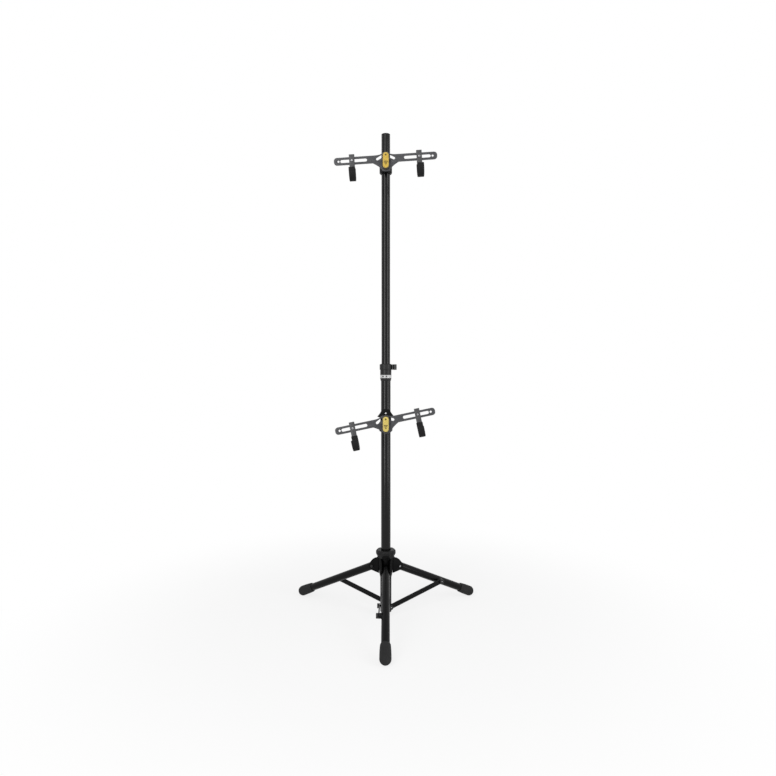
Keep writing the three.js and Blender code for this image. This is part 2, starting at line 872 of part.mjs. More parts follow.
// The arm's outline, with the crown above its pivot and the boss below
function armShape() {
  const top = armRise + armWidth / 2;
  const bottom = armRise - armWidth / 2;
  const cornerX = armHalfLength - armCorner;
  const shape = new THREE.Shape();
  shape.moveTo(-bossShoulderDistance, bottom);
  shape.quadraticCurveTo(-bossFlareDistance, -bossFlareDepth, -bossHalfWidth, -bossShoulderDepth);
  shape.quadraticCurveTo(-bossHalfWidth, -bossDepth, 0, -bossDepth);
  shape.quadraticCurveTo(bossHalfWidth, -bossDepth, bossHalfWidth, -bossShoulderDepth);
  shape.quadraticCurveTo(bossFlareDistance, -bossFlareDepth, bossShoulderDistance, bottom);
  shape.absarc(cornerX, bottom + armCorner, armCorner, -Math.PI / 2, 0, false);
  shape.absarc(cornerX, top - armCorner, armCorner, 0, Math.PI / 2, false);
  shape.lineTo(crownFootDistance, top);
  shape.quadraticCurveTo(crownHalfWidth, top, crownHalfWidth, crownHeight);
  shape.lineTo(-crownHalfWidth, crownHeight);
  shape.quadraticCurveTo(-crownHalfWidth, top, -crownFootDistance, top);
  shape.absarc(-cornerX, top - armCorner, armCorner, Math.PI / 2, Math.PI, false);
  shape.absarc(-cornerX, bottom + armCorner, armCorner, Math.PI, (3 * Math.PI) / 2, false);
  shape.closePath();
  return shape;
}

function armPlate() {
  const from = -armFront - overrun;
  const to = overrun - armBack;
  const slotOuter = armHalfLength - slotEndInset;
  const endHoleDistance = armHalfLength - endHoleInset;
  const slot = stadium(slotOuter - slotInner, slotWidth);
  const gap = stadium(windowLength, windowWidth);
  const windowTilt = THREE.MathUtils.degToRad(windowAngle);
  const openings = [-1, 1].flatMap((side) => [
    upright(slot, from, to).translate((side * (slotInner + slotOuter)) / 2, 0, armRise),
    alongY(rod(endHoleRadius, from, to)).translate(side * endHoleDistance, 0, armRise),
    upright(gap, from, to)
      .rotateY(side * windowTilt)
      .translate(side * windowDistance, 0, windowRise),
  ]);
  const pivot = alongY(rod(tiltBoltRadius + clearance, from, to));
  return cut(upright(armShape(), -armFront, -armBack, 0, arcSteps / 2), pivot, ...openings);
}

function cover() {
  const front = -coverBack - coverDepth;
  const outer = stadium(coverHeight, coverWidth);
  const inner = stadium(coverHeight - 2 * coverWall, coverWidth - 2 * coverWall);
  const back = block(-coverWidth, coverWidth, -coverBack, coverDepth, -coverHeight, coverHeight);
  return cut(
    upright(outer, front, coverEdge - coverBack, coverEdge).rotateY(Math.PI / 2),
    upright(inner, front + coverWall, overrun - coverBack).rotateY(Math.PI / 2),
    back,
  ).translate(0, 0, coverRise);
}

// Hooks. A hook is a strip bent to a J, drawn forwards from the column and up
const hookBack = armFront + clearance;
const hookMiddle = hookBack + hookThickness / 2;

function hookOutline(halfThickness, top, tip) {
  const centre = hookMiddle + hookBendRadius;
  const front = hookMiddle + 2 * hookBendRadius;
  const shape = new THREE.Shape();
  shape.moveTo(hookMiddle + halfThickness, top);
  shape.lineTo(hookMiddle - halfThickness, top);
  const outside = hookBendRadius + halfThickness;
  shape.absarc(centre, -hookBendHeight, outside, Math.PI, 2 * Math.PI, false);
  shape.lineTo(front + halfThickness, tip);
  shape.lineTo(front - halfThickness, tip);
  const inside = hookBendRadius - halfThickness;
  shape.absarc(centre, -hookBendHeight, inside, 2 * Math.PI, Math.PI, true);
  shape.closePath();
  return shape;
}

function hook() {
  const half = hookWidth / 2;
  const armTop = armRise + armWidth / 2 + clearance;
  const tabBack = armBack - clearance;
  const tabFront = tabBack - hookThickness;
  const bend = sideways(hookOutline(hookThickness / 2, hookTop, -hookTipDrop), hookWidth);
  const bridge = block(-half, half, -hookMiddle, -tabFront, armTop, hookTop);
  const tab = block(-half, half, -tabBack, -tabFront, hookTabBottom, hookTop);
  const hole = rod(hookScrewRadius + clearance, -hookBack - hookThickness - overrun, -armFront);
  return cut(join(bend, bridge, tab), alongY(hole).translate(0, 0, armRise));
}

function hookGrip() {
  const outer = hookOutline(gripThickness / 2, -gripTop, gripTipCover - hookTipDrop);
  const inner = hookOutline(hookThickness / 2 + clearance, overrun - gripTop, clearance - hookTipDrop);
  return cut(sideways(outer, gripWidth, gripEdge), sideways(inner, hookWidth + 2 * clearance));
}

function hookScrew() {
  const face = hookBack + hookThickness + clearance;
  const nutFront = armBack - clearance;
  const nutBack = nutFront - hookNutHeight;
  const bolt = domedBolt(
    hookScrewRadius,
    nutBack,
    face,
    hookScrewHeadRadius,
    hookScrewHeadHeight,
    hookScrewHeadHeight / 2,
  );
  return join(bolt, alongY(rod(hookNutRadius, -nutFront, -nutBack, hexSides)));
}

function hookAssembly(name, distance) {
  const screw = piece(`${name}_screw`, hookScrew(), steel);
  screw.position.z = armRise;
  const assembly = groupOf(
    piece(name, hook(), greyPaint),
    piece(`${name}_grip`, hookGrip(), rubber),
    screw,
  );
  assembly.position.x = distance;
  return assembly;
}

function armAssembly(name, tubeRadius, height, tilt, plateShape, spineTop, screwHeight) {
  const screw = piece(`${name}_backplate_screw`, backplateScrew(tubeRadius), steel);
  screw.position.z = screwHeight;
  const knob = piece(`${name}_clamp_knob`, clampKnob(tubeRadius), blackPlastic);
  knob.position.z = -carriageDrop;
  const tilting = groupOf(
    piece(`${name}_arm`, armPlate(), greyPaint),
    hookAssembly(`${name}_left_hook`, hookInset - armHalfLength),
    hookAssembly(`${name}_right_hook`, armHalfLength - hookInset),
  );
  tilting.rotation.y = -THREE.MathUtils.degToRad(tilt);
  const assembly = groupOf(
    piece(`${name}_liner`, liner(tubeRadius), blackPlastic),
    piece(`${name}_carriage`, carriage(tubeRadius, spineTop, screwHeight), blackPlastic),
    knob,
    piece(`${name}_backplate`, backplate(plateShape, screwHeight), blackPaint),
    screw,
    piece(`${name}_tilt_bolt`, tiltBolt(), steel),
    piece(`${name}_cover`, cover(), yellowPlastic),
    tilting,
  );
  assembly.position.z = height;
  return assembly;
}

// The whole stand, built about the column's axis
const boltPiece = piece("clamp_bolt", clampBolt(), steel);
boltPiece.position.set(0, clampBoltDistance, clampMiddle);
const leverPiece = piece("clamp_lever", clampLever(), blackPlastic);
leverPiece.position.set(leverPinDistance, clampBoltDistance, clampMiddle);
const pinHalf = leverHeight / 2;
const pinPiece = piece("lever_pin", rod(leverPinRadius, -pinHalf, pinHalf), steel);
pinPiece.position.copy(leverPiece.position);

const stand = groupOf(
  piece("lower_tube", lowerTube(), blackPaint),
  piece("base_sleeve", baseSleeve(), blackPaint),
  piece("base_plug", basePlug(), blackPlastic),
  piece("height_collar", heightCollar(), blackPlastic),
  piece("collar_band", collarBand(), lightBand),
  piece("clamp_ring", clampRing(), blackPlastic),
  boltPiece,
  leverPiece,
  pinPiece,
  piece("upper_tube", upperTube(), blackPaint),
  piece("pole_cap", poleCap(), blackPlastic),
  piece("hub", hub(), blackPaint),
  piece("hub_lock_ring", lockRing(), blackPlastic),
  ...legNames.map((name, i) => legAssembly(name, legAzimuths[i])),
  armAssembly(
    "upper",
    upperTubeRadius,
    standHeight - upperArmDrop,
    upperArmTilt,
    plainPlateShape(),
    upperSpineTop,
    upperScrewHeight,
  ),
  armAssembly(
    "lower",
    lowerTubeRadius,
    collarBottom - lowerArmDrop,
    lowerArmTilt,
    bellPlateShape(),
    lowerSpineTop,
    lowerScrewHeight,
  ),
);

// The part's origin is the middle of its footprint, on the floor
stand.updateMatrixWorld(true);
const bounds = new THREE.Box3().setFromObject(stand, true);
stand.position.x = -(bounds.min.x + bounds.max.x) / 2;
stand.position.y = -(bounds.min.y + bounds.max.y) / 2;

const tower = new THREE.Group();
tower.add(stand);

export default tower;
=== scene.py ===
# A two-tier storage tower: folding tripod, telescoping pole and two tilting arms with padded hooks.
# Lengths in this file are written in millimetres and become metres as the pieces are placed.
# Angles are in degrees.
import json
import math

import bpy
from mathutils import Matrix, Vector
from mathutils.geometry import tessellate_polygon


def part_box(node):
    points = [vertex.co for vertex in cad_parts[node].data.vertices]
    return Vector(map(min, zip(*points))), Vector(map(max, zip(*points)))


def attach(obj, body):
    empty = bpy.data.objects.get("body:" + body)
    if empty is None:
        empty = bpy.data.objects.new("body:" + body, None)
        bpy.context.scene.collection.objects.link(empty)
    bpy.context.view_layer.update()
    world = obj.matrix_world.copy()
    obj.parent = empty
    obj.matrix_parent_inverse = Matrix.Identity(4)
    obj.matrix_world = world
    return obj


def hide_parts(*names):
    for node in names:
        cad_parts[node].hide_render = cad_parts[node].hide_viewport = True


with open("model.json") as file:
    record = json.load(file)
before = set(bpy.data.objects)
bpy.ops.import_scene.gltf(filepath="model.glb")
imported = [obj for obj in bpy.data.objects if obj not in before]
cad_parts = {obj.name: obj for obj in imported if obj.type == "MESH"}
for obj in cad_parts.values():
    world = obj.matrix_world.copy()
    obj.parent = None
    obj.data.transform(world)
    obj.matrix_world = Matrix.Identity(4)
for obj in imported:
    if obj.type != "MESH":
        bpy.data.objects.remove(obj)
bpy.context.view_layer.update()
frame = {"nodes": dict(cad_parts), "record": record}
record = frame["record"]
body_of = {node: body for body, members in record["behaviour"]["bodies"].items() for node in members}

MM = 0.001
TINY = 1e-6
SMOOTH_ANGLE = 38
SOFT_ANGLE = 50


def span(node):
    """The lowest and highest corners of a CAD node, in millimetres."""
    low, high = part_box(node)
    return low / MM, high / MM


def half_width(node):
    """Half of a CAD node's width along X."""
    low, high = span(node)
    return (high.x - low.x) / 2


tube_low, tube_high = span("lower_tube")
column_x = (tube_low.x + tube_high.x) / 2
column_y = (tube_low.y + tube_high.y) / 2
column = Matrix.Translation((column_x, column_y, 0))
lower_radius = half_width("lower_tube")
upper_radius = half_width("upper_tube")
gap = 0.3

# Camera, fitted to the photograph
photo_width = 776
focal_pixels = 609.23
camera_right = 9.4
camera_distance = 2612.8
camera_height = 1073.5
camera_pitch = 1.95

camera = bpy.data.objects.new("camera", bpy.data.cameras.new("camera"))
bpy.context.scene.collection.objects.link(camera)
bpy.context.scene.camera = camera
camera.data.sensor_width = 36
camera.data.lens = camera.data.sensor_width * focal_pixels / photo_width
camera.data.clip_start = 0.05
camera.data.clip_end = 100
camera.location = Vector((column_x + camera_right, column_y - camera_distance, camera_height)) * MM
camera.rotation_euler = (math.radians(90 - camera_pitch), 0, 0)


# Outlines


def arc(centre, radius, start, end, steps=12):
    """Points on a circle from one angle to another."""
    points = []
    for i in range(steps + 1):
        turn = math.radians(start + (end - start) * i / steps)
        points.append((centre[0] + radius * math.cos(turn), centre[1] + radius * math.sin(turn)))
    return points


def curved(start, handle, end, steps=8):
    """Points along a quadratic curve, without its first point."""
    points = []
    for i in range(1, steps + 1):
        t = i / steps
        points.append(tuple(
            (1 - t) ** 2 * a + 2 * t * (1 - t) * b + t * t * c for a, b, c in zip(start, handle, end)
        ))
    return points


def stadium(centre, length, width, angle=0, steps=12):
    """A slot's outline: its length lies along the first axis, turned by the angle."""
    half = (length - width) / 2
    loop = arc((half, 0), width / 2, -90, 90, steps) + arc((-half, 0), width / 2, 90, 270, steps)
    turn = math.radians(angle)
    cos, sin = math.cos(turn), math.sin(turn)
    return [(centre[0] + x * cos - y * sin, centre[1] + x * sin + y * cos) for x, y in loop]


def circle(centre, radius, steps=32):
    return arc(centre, radius, 0, 360, steps)[:-1]


def hexagon(centre, radius):
    return circle(centre, radius, 6)


def rectangle(left, near, right, far):
    return [(left, near), (right, near), (right, far), (left, far)]


def mirrored(points):
    """The points on the other side of the second axis, in the opposite order."""
    return [(-x, y) for x, y in reversed(points)]


def eased_corner(loop, i, sharp, steps, wanted):
    """What takes a corner's place: a short curve if the outline turns by at least sharp degrees there.

    wanted says, for the angle of the turn, how far from the corner the curve starts. It starts nearer
    where a side is short.
    """
    side_share = 0.45
    corner = loop[i]
    before = Vector(loop[i - 1]) - Vector(corner)
    after = Vector(loop[(i + 1) % len(loop)]) - Vector(corner)
    if before.length < TINY or after.length < TINY:
        return []
    turn = 180 - math.degrees(before.angle(after))
    if turn < sharp:
        return [corner]
    reach = min(wanted(turn), before.length * side_share, after.length * side_share)
    start = Vector(corner) + before.normalized() * reach
    end = Vector(corner) + after.normalized() * reach
    return [tuple(start), *curved(start, corner, end, steps)]


def rounded(loop, radius, steps=4, sharp=25):
    """The outline with its sharp corners rounded to the radius."""

    def wanted(turn):
        return radius * math.tan(math.radians(turn) / 2)

    points = []
    for i in range(len(loop)):
        points += eased_corner(loop, i, sharp, steps, wanted)
    return points


def eased_profile(profile, reach, steps=3, sharp=20):
    """A profile that meets the axis, with the sharp corners away from the axis eased over the reach."""
    points = []
    for i, corner in enumerate(profile):
        on_axis = corner[0] < TINY
        points += [corner] if on_axis else eased_corner(profile, i, sharp, steps, lambda turn: reach)
    return points


def area(loop):
    """The outline's area, positive if it runs anticlockwise."""
    return sum(
        x * loop[(i + 1) % len(loop)][1] - loop[(i + 1) % len(loop)][0] * y for i, (x, y) in enumerate(loop)
    ) / 2


def inset(loop, amount):
    """The outline moved to its left, which is into the material."""
    mitre_limit = 0.3
    moved_loop = []
    for i, corner in enumerate(loop):
        back = (Vector(corner) - Vector(loop[i - 1])).normalized()
        ahead = (Vector(loop[(i + 1) % len(loop)]) - Vector(corner)).normalized()
        left = Vector((-back.y - ahead.y, back.x + ahead.x))
        scale = max(mitre_limit, 1 + back.dot(ahead))
        moved_loop.append((corner[0] + left.x / scale * amount, corner[1] + left.y / scale * amount))
    return moved_loop


# Solids. Each is a list of corners and a list of faces


def eased_levels(low, high, ease_low, ease, steps):
    """The inset and height of each ring of corners up a plate's wall: a quarter circle at both edges."""
    levels = []
    for edge, face, inwards in ((ease_low, low, 1), (ease, high, -1)):
        quarter = []
        for k in range(steps + 1):
            turn = math.pi / 2 * k / steps
            quarter.append((edge * (1 - math.cos(turn)), face + inwards * edge * (1 - math.sin(turn))))
        levels += quarter[::-1] if inwards > 0 else quarter
    return levels


def cap(corners, rings, upwards):
    """Triangles that fill the first ring of corners and leave the other rings open."""
    flat = [i for ring in rings for i in ring]
    outlines = [[Vector((corners[i][0], corners[i][1], 0)) for i in ring] for ring in rings]
    faces = []
    for triangle in tessellate_polygon(outlines):
        face = tuple(flat[i] for i in triangle)
        a, b, c = (Vector(corners[i]) for i in face)
        faces_up = (b - a).cross(c - a).z > 0
        faces.append(face if faces_up == upwards else face[::-1])
    return faces


def plate(outline, holes=(), low=0, high=1, ease=0.6, steps=3, ease_low=None):
    """A flat piece drawn in the first two axes, from low to high along the third, with eased edges."""
    loops = [list(outline) if area(outline) > 0 else list(outline)[::-1]]
    loops += [list(hole) if area(hole) < 0 else list(hole)[::-1] for hole in holes]
    levels = eased_levels(low, high, ease if ease_low is None else ease_low, ease, steps)
    corners, faces = [], []
    first_rings, last_rings = [], []
    for loop in loops:
        start = len(corners)
        for amount, height in levels:
            corners += [(x, y, height) for x, y in inset(loop, amount)]
        count = len(loop)
        last = start + (len(levels) - 1) * count
        for row in range(start, last, count):
            for i in range(count):
                a = row + i
                b = row + (i + 1) % count
                faces.append((a, b, b + count, a + count))
        first_rings.append(range(start, start + count))
        last_rings.append(range(last, last + count))
    faces += cap(corners, first_rings, upwards=False) + cap(corners, last_rings, upwards=True)
    return corners, faces


def revolved(profile, sides=64, shape=None):
    """A closed outline of [radius, height] corners turned round the third axis.

    shape gives a corner's radius from its radius in the outline and its angle, in radians.
    """
    outline = list(profile) if area(profile) > 0 else list(profile)[::-1]
    corners, rings, faces = [], [], []
    for radius, height in outline:
        if abs(radius) < TINY:
            rings.append([len(corners)] * sides)
            corners.append((0, 0, height))
            continue
        rings.append(list(range(len(corners), len(corners) + sides)))
        for i in range(sides):
            turn = 2 * math.pi * i / sides
            r = shape(radius, turn) if shape else radius
            corners.append((r * math.cos(turn), r * math.sin(turn), height))
    for j, ring in enumerate(rings):
        other = rings[(j + 1) % len(rings)]
        for i in range(sides):
            k = (i + 1) % sides
            face = []
            for corner in (ring[i], ring[k], other[k], other[i]):
                if corner not in face:
                    face.append(corner)
            if len(face) > 2:
                faces.append(tuple(face))
    return corners, faces


def tube(outer, inner, low, high, ease=0.5, sides=64):
    return revolved(rounded(rectangle(inner, low, outer, high), ease), sides)


def rod(radius, low, high, ease=0.4, sides=32):
    return revolved(eased_profile(rectangle(0, low, radius, high), ease), sides)


def moved(solid, matrix):
    """The solid in another frame. A mirroring frame turns its faces round, so they still point outwards."""
    corners, faces = solid
    if matrix.to_3x3().determinant() < 0:
        faces = [face[::-1] for face in faces]
    return [tuple(matrix @ Vector(corner)) for corner in corners], faces


def together(*solids):
    corners, faces = [], []
    for more_corners, more_faces in solids:
        start = len(corners)
        corners += more_corners
        faces += [tuple(i + start for i in face) for face in more_faces]
    return corners, faces


# Frames that stand a drawn piece up. The drawing's third axis becomes the named direction
TO_BACK = Matrix(((1, 0, 0, 0), (0, 0, 1, 0), (0, 1, 0, 0), (0, 0, 0, 1)))
TO_RIGHT = Matrix(((0, 0, 1, 0), (-1, 0, 0, 0), (0, 1, 0, 0), (0, 0, 0, 1)))
ALONG_X = Matrix.Rotation(math.pi / 2, 4, "Y")
ALONG_Y = Matrix.Rotation(-math.pi / 2, 4, "X")
# A mirror that turns the drawing's third axis round
UPSIDE_DOWN = Matrix.Scale(-1, 4, (0, 0, 1))


def turned_about(axis, degrees):
    return Matrix.Rotation(math.radians(degrees), 4, axis)


def shifted(x=0, y=0, z=0):
    return Matrix.Translation((x, y, z))


def piece(node, solid, place, finish, smooth=SMOOTH_ANGLE, extra=()):
    """Makes the piece that stands for a CAD node, on that node's body.

    extra holds more solids of the same piece, each with its own place and finish.
    """
    parts = [(solid, place, finish), *extra]
    corners, faces = together(*(moved(part, at) for part, at, coat in parts))
    mesh = bpy.data.meshes.new(node + "_fine")
    mesh.from_pydata([Vector(corner) * MM for corner in corners], [], faces)
    finish_of_face = [i for i, (part, at, coat) in enumerate(parts) for face in part[1]]
    mesh.polygons.foreach_set("material_index", finish_of_face)
    mesh.validate()
    mesh.shade_smooth()
    mesh.set_sharp_from_angle(angle=math.radians(smooth))
    for part, at, coat in parts:
        mesh.materials.append(coat)
    made = bpy.data.objects.new(node + "_fine", mesh)
    bpy.context.scene.collection.objects.link(made)
    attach(made, body_of[node])
    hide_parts(node)


def kept(node, finish):
    """A CAD node that stays as it is, with its own finish."""
    mesh = frame["nodes"][node].data
    mesh.materials.clear()
    mesh.materials.append(finish)
    mesh.shade_smooth()
    mesh.set_sharp_from_angle(angle=math.radians(SMOOTH_ANGLE))


# Shader maths on sockets


class Value:
    """A shader output that takes part in sums: each operator adds a Math node."""

    def __init__(self, nodes, socket):
        self.nodes = nodes
        self.socket = socket

    def math(self, operation, *others):
        return self.nodes.node("ShaderNodeMath", {"operation": operation}, dict(enumerate((self, *others))))

    def __add__(self, other):
        return self.math("ADD", other)

    __radd__ = __add__

    def __sub__(self, other):
        return self.math("SUBTRACT", other)

    def __rsub__(self, other):
        return self * -1 + other

    def __mul__(self, other):
        return self.math("MULTIPLY", other)

    __rmul__ = __mul__

    def __truediv__(self, other):
        return self.math("DIVIDE", other)

    def above(self, level, width):
        """0 below level, 1 above it, with a soft step of the given width."""
        return self.nodes.node(
            "ShaderNodeMapRange",
            {"interpolation_type": "SMOOTHSTEP"},
            {"Value": self, "From Min": level - width / 2, "From Max": level + width / 2},
        )


class Nodes:
    """A node tree, with short ways to add the nodes that the finishes share."""

    def __init__(self, tree):
        self.tree = tree

    def node(self, kind, settings=None, sockets=None, output=0):
        made = self.tree.nodes.new(kind)
        for name, setting in (settings or {}).items():
            setattr(made, name, setting)
        for name, value in (sockets or {}).items():
            if isinstance(value, Value):
                self.tree.links.new(value.socket, made.inputs[name])
            else:
                made.inputs[name].default_value = value
        return Value(self, made.outputs[output]) if made.outputs else made

    def place(self):
        return self.node("ShaderNodeTexCoord", output="Object")

    def noise(self, scale, detail=2.0, roughness=0.5):
        return self.node("ShaderNodeTexNoise", sockets={
            "Vector": self.place(),
            "Scale": scale,
            "Detail": detail,
            "Roughness": roughness,
        })

    def mix(self, mask, low, high):
        """A colour that goes from low to high as the mask goes from 0 to 1."""
        first, second = (
            colour if isinstance(colour, Value) else (*colour, 1)
            for colour in (low, high)
        )
        # A Mix node's colour sockets share their names with its other kinds, so they go by number
        return self.node("ShaderNodeMix", {"data_type": "RGBA"}, {0: mask, 6: first, 7: second}, output=2)

    def seen_ray(self):
        """1 for what the camera sees, directly or in a reflection or through glass."""
        seen = self.node("ShaderNodeLightPath", output="Is Camera Ray")
        for ray in ("Is Glossy Ray", "Is Transmission Ray"):
            seen = seen.math("MAXIMUM", self.node("ShaderNodeLightPath", output=ray))
        return seen


class Finish(Nodes):
    """A Principled material."""

    def __init__(self, name, roughness, metallic=0.0, specular=0.5, coat=0.0, coat_roughness=0.1):
        self.material = bpy.data.materials.new(name)
        self.material.use_nodes = True
        super().__init__(self.material.node_tree)
        self.shader = self.tree.nodes["Principled BSDF"]
        settings = {
            "Roughness": roughness,
            "Metallic": metallic,
            "Specular IOR Level": specular,
            "Coat Weight": coat,
            "Coat Roughness": coat_roughness,
        }
        for socket, setting in settings.items():
            self.shader.inputs[socket].default_value = setting

    def feed(self, socket, value):
        self.tree.links.new(value.socket, self.shader.inputs[socket])

    def bump(self, height, strength, distance):
        self.feed("Normal", self.node("ShaderNodeBump", sockets={
            "Height": height,
            "Strength": strength,
            "Distance": distance,
        }))


def powder_coat(name, colour, dusty, roughness, specular):
    """Sprayed and baked paint: a faint orange peel, and a little unevenness in its gloss."""
    finish = Finish(name, roughness, specular=specular)
    peel = finish.noise(scale=900)
    cloud = finish.noise(scale=9, detail=3.0)
    speck = finish.noise(scale=260).above(0.66, 0.12)
    finish.feed("Base Color", finish.mix(cloud.above(0.5, 0.6) * 0.6 + speck * 0.3, colour, dusty))
    finish.feed("Roughness", cloud * 0.1 + peel * 0.06 + (roughness - 0.08))
    finish.bump(peel, strength=0.2, distance=0.12 * MM)
    return finish.material


def moulded(name, colour, worn, roughness, specular=0.35):
    """Moulded plastic with a fine spark-eroded grain."""
    finish = Finish(name, roughness, specular=specular, coat_roughness=0.15)
    pits = finish.noise(scale=900, detail=3.0, roughness=0.65)
    cloud = finish.noise(scale=14)
    finish.feed("Base Color", finish.mix(cloud.above(0.52, 0.5) * 0.6 + pits * 0.25, colour, worn))
    finish.feed("Roughness", pits * 0.16 + cloud * 0.08 + (roughness - 0.12))
    finish.bump(pits, strength=0.35, distance=0.25 * MM)
    return finish.material


def rubbery(name, colour, chalky):
    """Soft rubber: a coarse skin with chalky high spots."""
    finish = Finish(name, roughness=0.78, specular=0.22)
    skin = finish.noise(scale=520, detail=4.0, roughness=0.6)
    scuff = finish.noise(scale=45, detail=3.0).above(0.58, 0.25)
    finish.feed("Base Color", finish.mix(skin * 0.45 + scuff * 0.4, colour, chalky))
    finish.feed("Roughness", skin * 0.2 + scuff * 0.06 + 0.66)
    finish.bump(skin, strength=0.5, distance=0.6 * MM)
    return finish.material


def plated(name, colour, dull):
    """Zinc-plated steel with fine turning marks and a cloudy sheen."""
    finish = Finish(name, roughness=0.3, metallic=1.0)
    cloud = finish.noise(scale=180, detail=3.0)
    fine = finish.noise(scale=1800)
    finish.feed("Base Color", finish.mix(cloud.above(0.5, 0.4), colour, dull))
    finish.feed("Roughness", cloud * 0.2 + fine * 0.1 + 0.17)
    finish.bump(fine, strength=0.2, distance=0.1 * MM)
    return finish.material


tube_paint = powder_coat(
    "gloss black coat", (0.0012, 0.0012, 0.0014), (0.003, 0.003, 0.003), roughness=0.2, specular=0.24
)
black_paint = powder_coat(
    "satin black coat", (0.0022, 0.0022, 0.0024), (0.0045, 0.0045, 0.0045), roughness=0.27, specular=0.12
)
hub_paint = powder_coat(
    "matt black coat", (0.0014, 0.0014, 0.0016), (0.003, 0.003, 0.003), roughness=0.42, specular=0.07
)
grey_paint = powder_coat(
    "dark grey paint", (0.042, 0.043, 0.047), (0.056, 0.056, 0.06), roughness=0.42, specular=0.35
)
hook_paint = powder_coat(
    "hook grey paint", (0.044, 0.044, 0.046), (0.062, 0.062, 0.064), roughness=0.4, specular=0.35
)
collar_plastic = moulded(
    "collar plastic", (0.006, 0.006, 0.0065), (0.014, 0.014, 0.014), roughness=0.44, specular=0.25
)
black_plastic = moulded(
    "black plastic", (0.0035, 0.0035, 0.004), (0.009, 0.009, 0.009), roughness=0.46, specular=0.16
)
cap_plastic = moulded(
    "black bolt caps", (0.007, 0.007, 0.007), (0.016, 0.016, 0.016), roughness=0.4, specular=0.25
)
lever_plastic = moulded("lever plastic", (0.022, 0.022, 0.023), (0.04, 0.04, 0.04), roughness=0.5)
rib_plastic = moulded("cover ribs", (0.06, 0.042, 0.006), (0.09, 0.06, 0.01), roughness=0.45)
grip_rubber = rubbery("hook rubber", (0.0035, 0.0035, 0.0038), (0.012, 0.012, 0.012))
boot_rubber = rubbery("boot rubber", (0.01, 0.01, 0.0105), (0.026, 0.026, 0.026))
steel = plated("zinc plated steel", (0.36, 0.36, 0.37), (0.24, 0.24, 0.25))
bright_steel = plated("bright steel", (0.55, 0.55, 0.55), (0.4, 0.4, 0.4))


# Column
tube_wall = 1.65


def build_column():
    for node in ("lower_tube", "upper_tube"):
        low, high = span(node)
        outer = half_width(node)
        piece(node, tube(outer, outer - tube_wall, low.z, high.z), column, tube_paint)
    build_pole_cap()
    low, high = span("base_sleeve")
    sleeve = tube(half_width("base_sleeve"), lower_radius + gap, low.z, high.z, ease=1.2)
    piece("base_sleeve", sleeve, column, black_paint)
    kept("base_plug", black_plastic)


def build_pole_cap():
    """A plug in the tube's end, with a brim on the tube and a slightly domed crown."""
    low, high = span("pole_cap")
    top = high.z
    brim = top - 3
    shoulder = top - 1.5
    plug_radius = upper_radius - 2
    crown = [(upper_radius, brim), (upper_radius, shoulder)]
    dome = (upper_radius * 0.72, top - 0.12)
    crown += curved((upper_radius, shoulder), (upper_radius, top - 0.3), dome, 8)
    crown += [(upper_radius * 0.4, top - 0.02), (0, top)]
    plug = [(0, low.z), (plug_radius, low.z), (plug_radius, brim)]
    piece("pole_cap", revolved([*plug, *crown]), column, black_plastic)


# Collar and its quick-release clamp
collar_radius, collar_neck = 24, 22
band_depth, band_wall = 1.8, 1.5
clamp_outer, clamp_inner = 26.3, 22.3
clamp_half_split = 1.5
ear_outer, ear_root, ear_tip = 9.5, 21.5, 39.5
ear_half_height = 9
seat_left, seat_root, seat_right = 5, 23.5, 28.2
seat_inset = 0.4
lever_eye_x, lever_eye_y = 37.5, 31.5


def build_collar():
    low, high = span("height_collar")
    band_low, band_high = span("collar_band")
    ring_low, ring_high = span("clamp_ring")
    rim = half_width("collar_band")
    groove = rim - band_depth
    lip = lower_radius + 1.2
    tube_end = tube_high.z + gap
    profile = [
        (lower_radius + gap, low.z),
        (lip, low.z),
        (rim, band_low.z - gap),
        (groove, band_low.z - gap),
        (groove, band_high.z + gap),
        (collar_radius, band_high.z + gap),
        (collar_radius, ring_low.z - gap),
        (collar_neck, ring_low.z - gap),
        (collar_neck, high.z),
        (upper_radius + gap, high.z),
        (upper_radius + gap, tube_end),
        (lower_radius + gap, tube_end),
    ]
    piece("height_collar", revolved(rounded(profile, radius=0.7, sharp=14)), column, collar_plastic)
    band = tube(rim, rim - band_wall, band_low.z, band_high.z)
    piece("collar_band", band, column, band_plastic(rim, (band_low.z + band_high.z) / 2))
    build_clamp(ring_low.z, ring_high.z)


def build_clamp(low, high):
    """A split ring with two ears at the back, and a block for the cam of its lever."""
    middle = (low + high) / 2
    ring = plate(clamp_outline(), low=low, high=high, ease=1.2)
    ear = rectangle(clamp_half_split, ear_root, ear_outer, ear_tip)
    ears = [
        plate(
            rounded([(side * x, y) for x, y in ear], radius=3.5),
            low=middle - ear_half_height,
            high=middle + ear_half_height,
            ease=1.2,
        )
        for side in (1, -1)
    ]
    seat_outline = rounded(rectangle(seat_left, seat_root, seat_right, ear_tip), radius=2)
    seat = plate(seat_outline, low=low + seat_inset, high=high - seat_inset, ease=1)
    piece("clamp_ring", together(ring, *ears, seat), column, collar_plastic)
    kept("clamp_bolt", steel)
    kept("lever_pin", steel)
    build_lever(shifted(lever_eye_x, lever_eye_y, middle))


def clamp_outline():
    """The clamp's ring seen from above, split at the back."""
    open_outer = math.degrees(math.asin(clamp_half_split / clamp_outer))
    open_inner = math.degrees(math.asin(clamp_half_split / clamp_inner))
    back = 90
    return [
        *arc((0, 0), clamp_outer, back + open_outer, back + 360 - open_outer, 72),
        *arc((0, 0), clamp_inner, back + 360 - open_inner, back + open_inner, 72),
    ]


